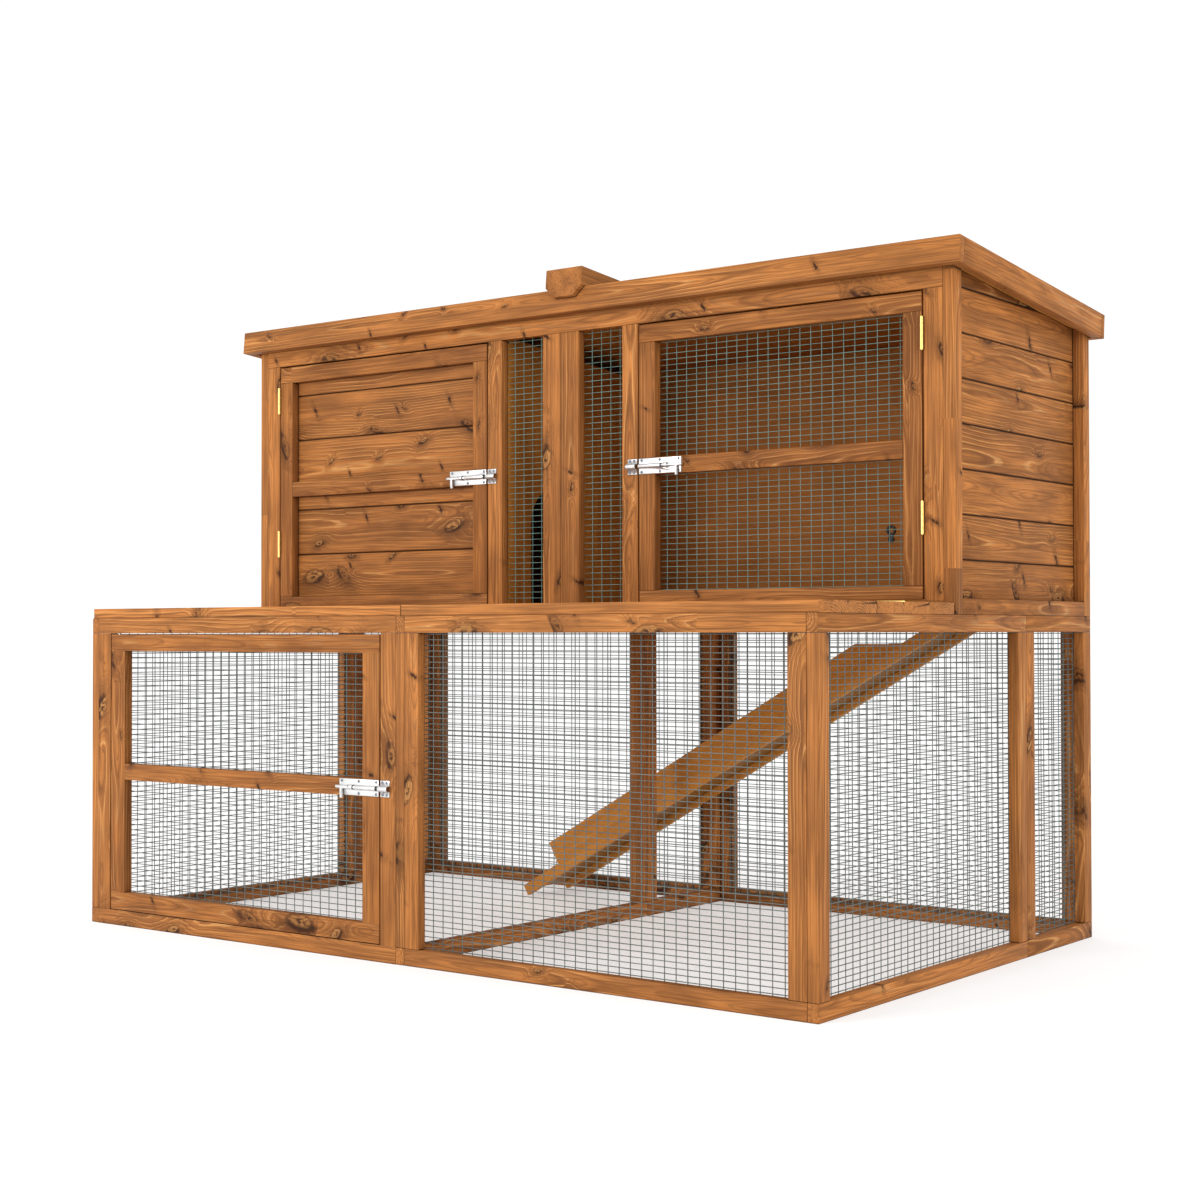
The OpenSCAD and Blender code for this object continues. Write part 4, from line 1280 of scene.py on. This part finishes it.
@dataclass
class Ramp:
    """The ramp from the run to the hutch."""

    finishes: Finishes
    slope: float = 29.8

    def build(self) -> None:
        """Builds the tread, the side boards and the cleats."""
        f = self.finishes
        turn = Matrix.Rotation(math.radians(self.slope), 3, "Y")
        # The tread's underside is marked so that the plywood paints shade on it
        below = turn.transposed() @ Vector((0, 0, -1))
        TimberSet("ramp_tread", f.plywood, turn=turn, edge=0.6 * MM, spread=0.1,
                  inside=below).build()
        TimberSet("ramp_sides", f.plywood, turn=turn, edge=0.8 * MM, spread=0.2).build()
        TimberSet("ramp_cleats", f.plywood, turn=turn, edge=0.6 * MM, spread=0.2).build()


@dataclass
class Bolts:
    """The three sliding bolts with their keepers and screws."""

    finishes: Finishes
    screws: Screws
    inset: float = 6 * MM
    rise: float = 12 * MM
    # The painted shadows at the loops' mouths: their length along the rod and their width
    shadow_length: float = 2.2 * MM
    shadow_width: float = 1.0 * MM
    clear: float = 0.08 * MM
    plate_t: float = 1.5 * MM
    keepers: tuple[tuple[str, float], ...] = (("left", 5 * MM), ("right", -29 * MM),
                                              ("run", 5 * MM))
    keeper_holes: tuple[float, float] = (6 * MM, 17 * MM)
    ARC_STEPS = 10
    ARC_END = 100
    FULL_ARC = -100
    SHORT_ARC = 8

    def arc(self, bm: WorkMesh, start: Vector, inner: float, low: float) -> None:
        """Adds a short dark arc in front of a rod, where its loop ends: a painted shadow for the
        loop's shaded mouth.

        Args:
            bm: the mesh to add to.
            start: the arc's middle, where it starts along X.
            inner: its inner radius.
            low: the angle below or above the front where it starts, in degrees.
        """
        rings = []
        for step in range(self.ARC_STEPS + 1):
            angle = math.radians(low + step * (self.ARC_END - low) / self.ARC_STEPS)
            way = Vector((0, -math.cos(angle), math.sin(angle)))
            near, far = start + way * inner, start + way * (inner + self.shadow_width)
            along = Vector((self.shadow_length, 0, 0))
            rings.append([bm.verts.new(place) for place in (near, far, far + along, near + along)])
        for one, two in zip(rings, rings[1:]):
            for k in range(4):
                bm.faces.new((one[k], one[(k + 1) % 4], two[(k + 1) % 4], two[k]))
        bm.faces.new(rings[0][::-1])
        bm.faces.new(rings[-1])

    def loop_shadows(self, name: str, door: Body) -> None:
        """Adds the dark arcs at the ends of a bolt's loops, painted shadows for their shaded
        mouths.

        Args:
            name: the bolt's name.
            door: the door that carries it.
        """
        plate = f"{name}_bolt_plate"
        low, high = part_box(f"{name}_bolt_rod")
        radius = (high.y - low.y) / 2
        axis_y = (low.y + high.y) / 2
        places = sorted({round(v.co.x, 4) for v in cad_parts[plate].data.vertices
                         if v.co.y < axis_y - 1 * MM})
        if name == "right":
            ends = ((places[1], self.FULL_ARC), (places[3], self.SHORT_ARC))
        else:
            ends = ((places[0] - self.shadow_length, self.SHORT_ARC), (places[1], self.FULL_ARC),
                    (places[3], self.FULL_ARC))
        bm = bmesh.new()
        for x, start in ends:
            self.arc(bm, Vector((x, axis_y, mid_height(plate))), radius + self.clear, start)
        bmesh.ops.recalc_face_normals(bm, faces=bm.faces[:])
        # The arcs wear the black plastic finish to paint the shadow in the loops' mouths
        hand_over(f"{name}_bolt_collars", smooth_mesh(bm, Hardware.SMOOTH_TO), self.finishes.black,
                  door)

    def screw_rows(self, body: Body, across: tuple[float, ...], plate: str, size: float) -> None:
        """Adds two rows of screws, above and below a rod.

        Args:
            body: what carries them.
            across: their places along X.
            plate: the node of the bolt's plate.
            size: their size against a 6.6 mm head.
        """
        middle = mid_height(plate)
        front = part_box(plate)[1].y - self.plate_t
        for x in across:
            for z in (middle - self.rise, middle + self.rise):
                self.screws.put(body, (x, front, z), (0, -1, 0), size)

    def build(self) -> None:
        """Builds the plates, the rods and the keepers."""
        f = self.finishes
        sides = (("left", Body.LEFT_DOOR, Body.LEFT_BOLT),
                 ("right", Body.RIGHT_DOOR, Body.RIGHT_BOLT),
                 ("run", Body.RUN_DOOR, Body.RUN_BOLT))
        for name, door, rod in sides:
            plate = f"{name}_bolt_plate"
            Hardware(plate, f.zinc, door).build()
            Hardware(f"{name}_bolt_rod", f.zinc, rod, edge=0.5 * MM).build()
            low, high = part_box(plate)
            across = (low.x + self.inset + 1 * MM, (low.x + high.x) / 2, high.x - self.inset)
            self.screw_rows(door, across, plate, 0.95)
            # Painted shadows at the loops' mouths
            self.loop_shadows(name, door)
        Hardware("bolt_keepers", f.zinc).build()
        for name, painted_crease_shade in self.keepers:
            plate = f"{name}_bolt_plate"
            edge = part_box(plate)[0 if name == "right" else 1].x + painted_crease_shade
            holes = tuple(edge + hole for hole in self.keeper_holes)
            self.screw_rows(Body.FRAME, holes, plate, 0.9)


@dataclass
class Hinges:
    """The butt hinges of the hutch's doors and the lids."""

    finishes: Finishes

    def build(self) -> None:
        """Builds the hinges' leaves and pins."""
        f = self.finishes
        leaves = (("left_lid_hinge_leaves", Body.LEFT_LID),
                  ("right_lid_hinge_leaves", Body.RIGHT_LID),
                  ("lid_hinge_fixed_leaves", Body.FRAME),
                  ("left_door_hinge_leaves", Body.LEFT_DOOR),
                  ("right_door_hinge_leaves", Body.RIGHT_DOOR),
                  ("door_hinge_fixed_leaves", Body.FRAME), ("hinge_pins", Body.FRAME))
        for node, body in leaves:
            Hardware(node, f.brass, body, edge=0.0).build()


# ---- Studio ----


@dataclass
class Studio:
    """A pale floor, soft light and the camera."""

    lens: float = 57.24
    place: Triple = (2.5312, -3.2785, 0.6399)
    turn: float = 37.137
    pitch: float = 0.982
    roll: float = -0.07

    def floor(self) -> None:
        """Lays the floor, which is partly lit from below like a photographer's light table."""
        bm = bmesh.new()
        bmesh.ops.create_grid(bm, x_segments=1, y_segments=1, size=60.0)
        ground = link("studio_floor", smooth_mesh(bm, 30))
        material, g = new_graph("studio_floor")
        speck = g.noise(g.here(), 40.0, 2.0)
        g.surface({"Base Color": g.mix(speck, (0.59, 0.59, 0.59), (0.61, 0.61, 0.61)),
                   "Roughness": 0.9, "Specular IOR Level": 0.0,
                   "Emission Color": (1.0, 1.0, 1.0), "Emission Strength": 0.42})
        ground.data.materials.append(material)

    def lamp(self, name: str, place: Triple, aim: Triple, size: float, power: float) -> None:
        """Hangs one soft lamp.

        Args:
            name: the lamp's name.
            place: where it hangs.
            aim: what it shines at.
            size: its width.
            power: its power in watts.
        """
        light = bpy.data.lights.new(name, "AREA")
        light.shape = "DISK"
        light.size = size
        light.energy = power
        lamp = bpy.data.objects.new(name, light)
        way = Vector(aim) - Vector(place)
        turned = way.to_track_quat("-Z", "Y").to_matrix().to_4x4()
        lamp.matrix_world = Matrix.Translation(place) @ turned
        bpy.context.scene.collection.objects.link(lamp)

    def camera(self) -> None:
        """Sets the camera at the photograph's view."""
        az, up, roll = (math.radians(a) for a in (self.turn, self.pitch, self.roll))
        ahead = Vector((-math.sin(az) * math.cos(up), math.cos(az) * math.cos(up), math.sin(up)))
        right = Vector((math.cos(az), math.sin(az), 0.0))
        top = right.cross(ahead)
        side = math.cos(roll) * right + math.sin(roll) * top
        crown = math.cos(roll) * top - math.sin(roll) * right
        data = bpy.data.cameras.new("camera")
        data.lens, data.sensor_width = self.lens, 36.0
        data.clip_start, data.clip_end = 0.05, 200.0
        camera = bpy.data.objects.new("camera", data)
        turned = Matrix((side, crown, -ahead)).transposed().to_4x4()
        camera.matrix_world = Matrix.Translation(self.place) @ turned
        bpy.context.scene.collection.objects.link(camera)
        bpy.context.scene.camera = camera

    def build(self) -> None:
        """Builds the floor, the light and the camera."""
        scene = bpy.context.scene
        world = bpy.data.worlds.new("studio")
        world.use_nodes = True
        g = Graph(world.node_tree)
        sky = g.out("ShaderNodeBackground", {"Color": (1.0, 1.0, 1.0), "Strength": 1.04})
        g.add("ShaderNodeOutputWorld", {"Surface": sky})
        scene.world = world
        scene.view_settings.view_transform = "Standard"
        self.floor()
        self.lamp("key", (-1.6, -4.8, 1.7), (0.0, 0.0, 0.5), 2.6, 160.0)
        self.lamp("fill", (4.8, -1.2, 1.8), (0.0, 0.0, 0.5), 2.4, 80.0)
        self.camera()


def main() -> None:
    """Builds every sub-assembly in order."""
    logging.basicConfig(level=logging.INFO, format="%(message)s")
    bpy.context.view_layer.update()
    finishes = Finishes()
    screws = Screws(finishes)
    Studio().build()
    Run(finishes).build()
    Lids(finishes).build()
    Hutch(finishes).build()
    Doors(finishes).build()
    Roof(finishes).build()
    Ramp(finishes).build()
    Bolts(finishes, screws).build()
    Hinges(finishes).build()
    WireNets(finishes).build()
    screws.build()


if __name__ == "__main__":
    main()
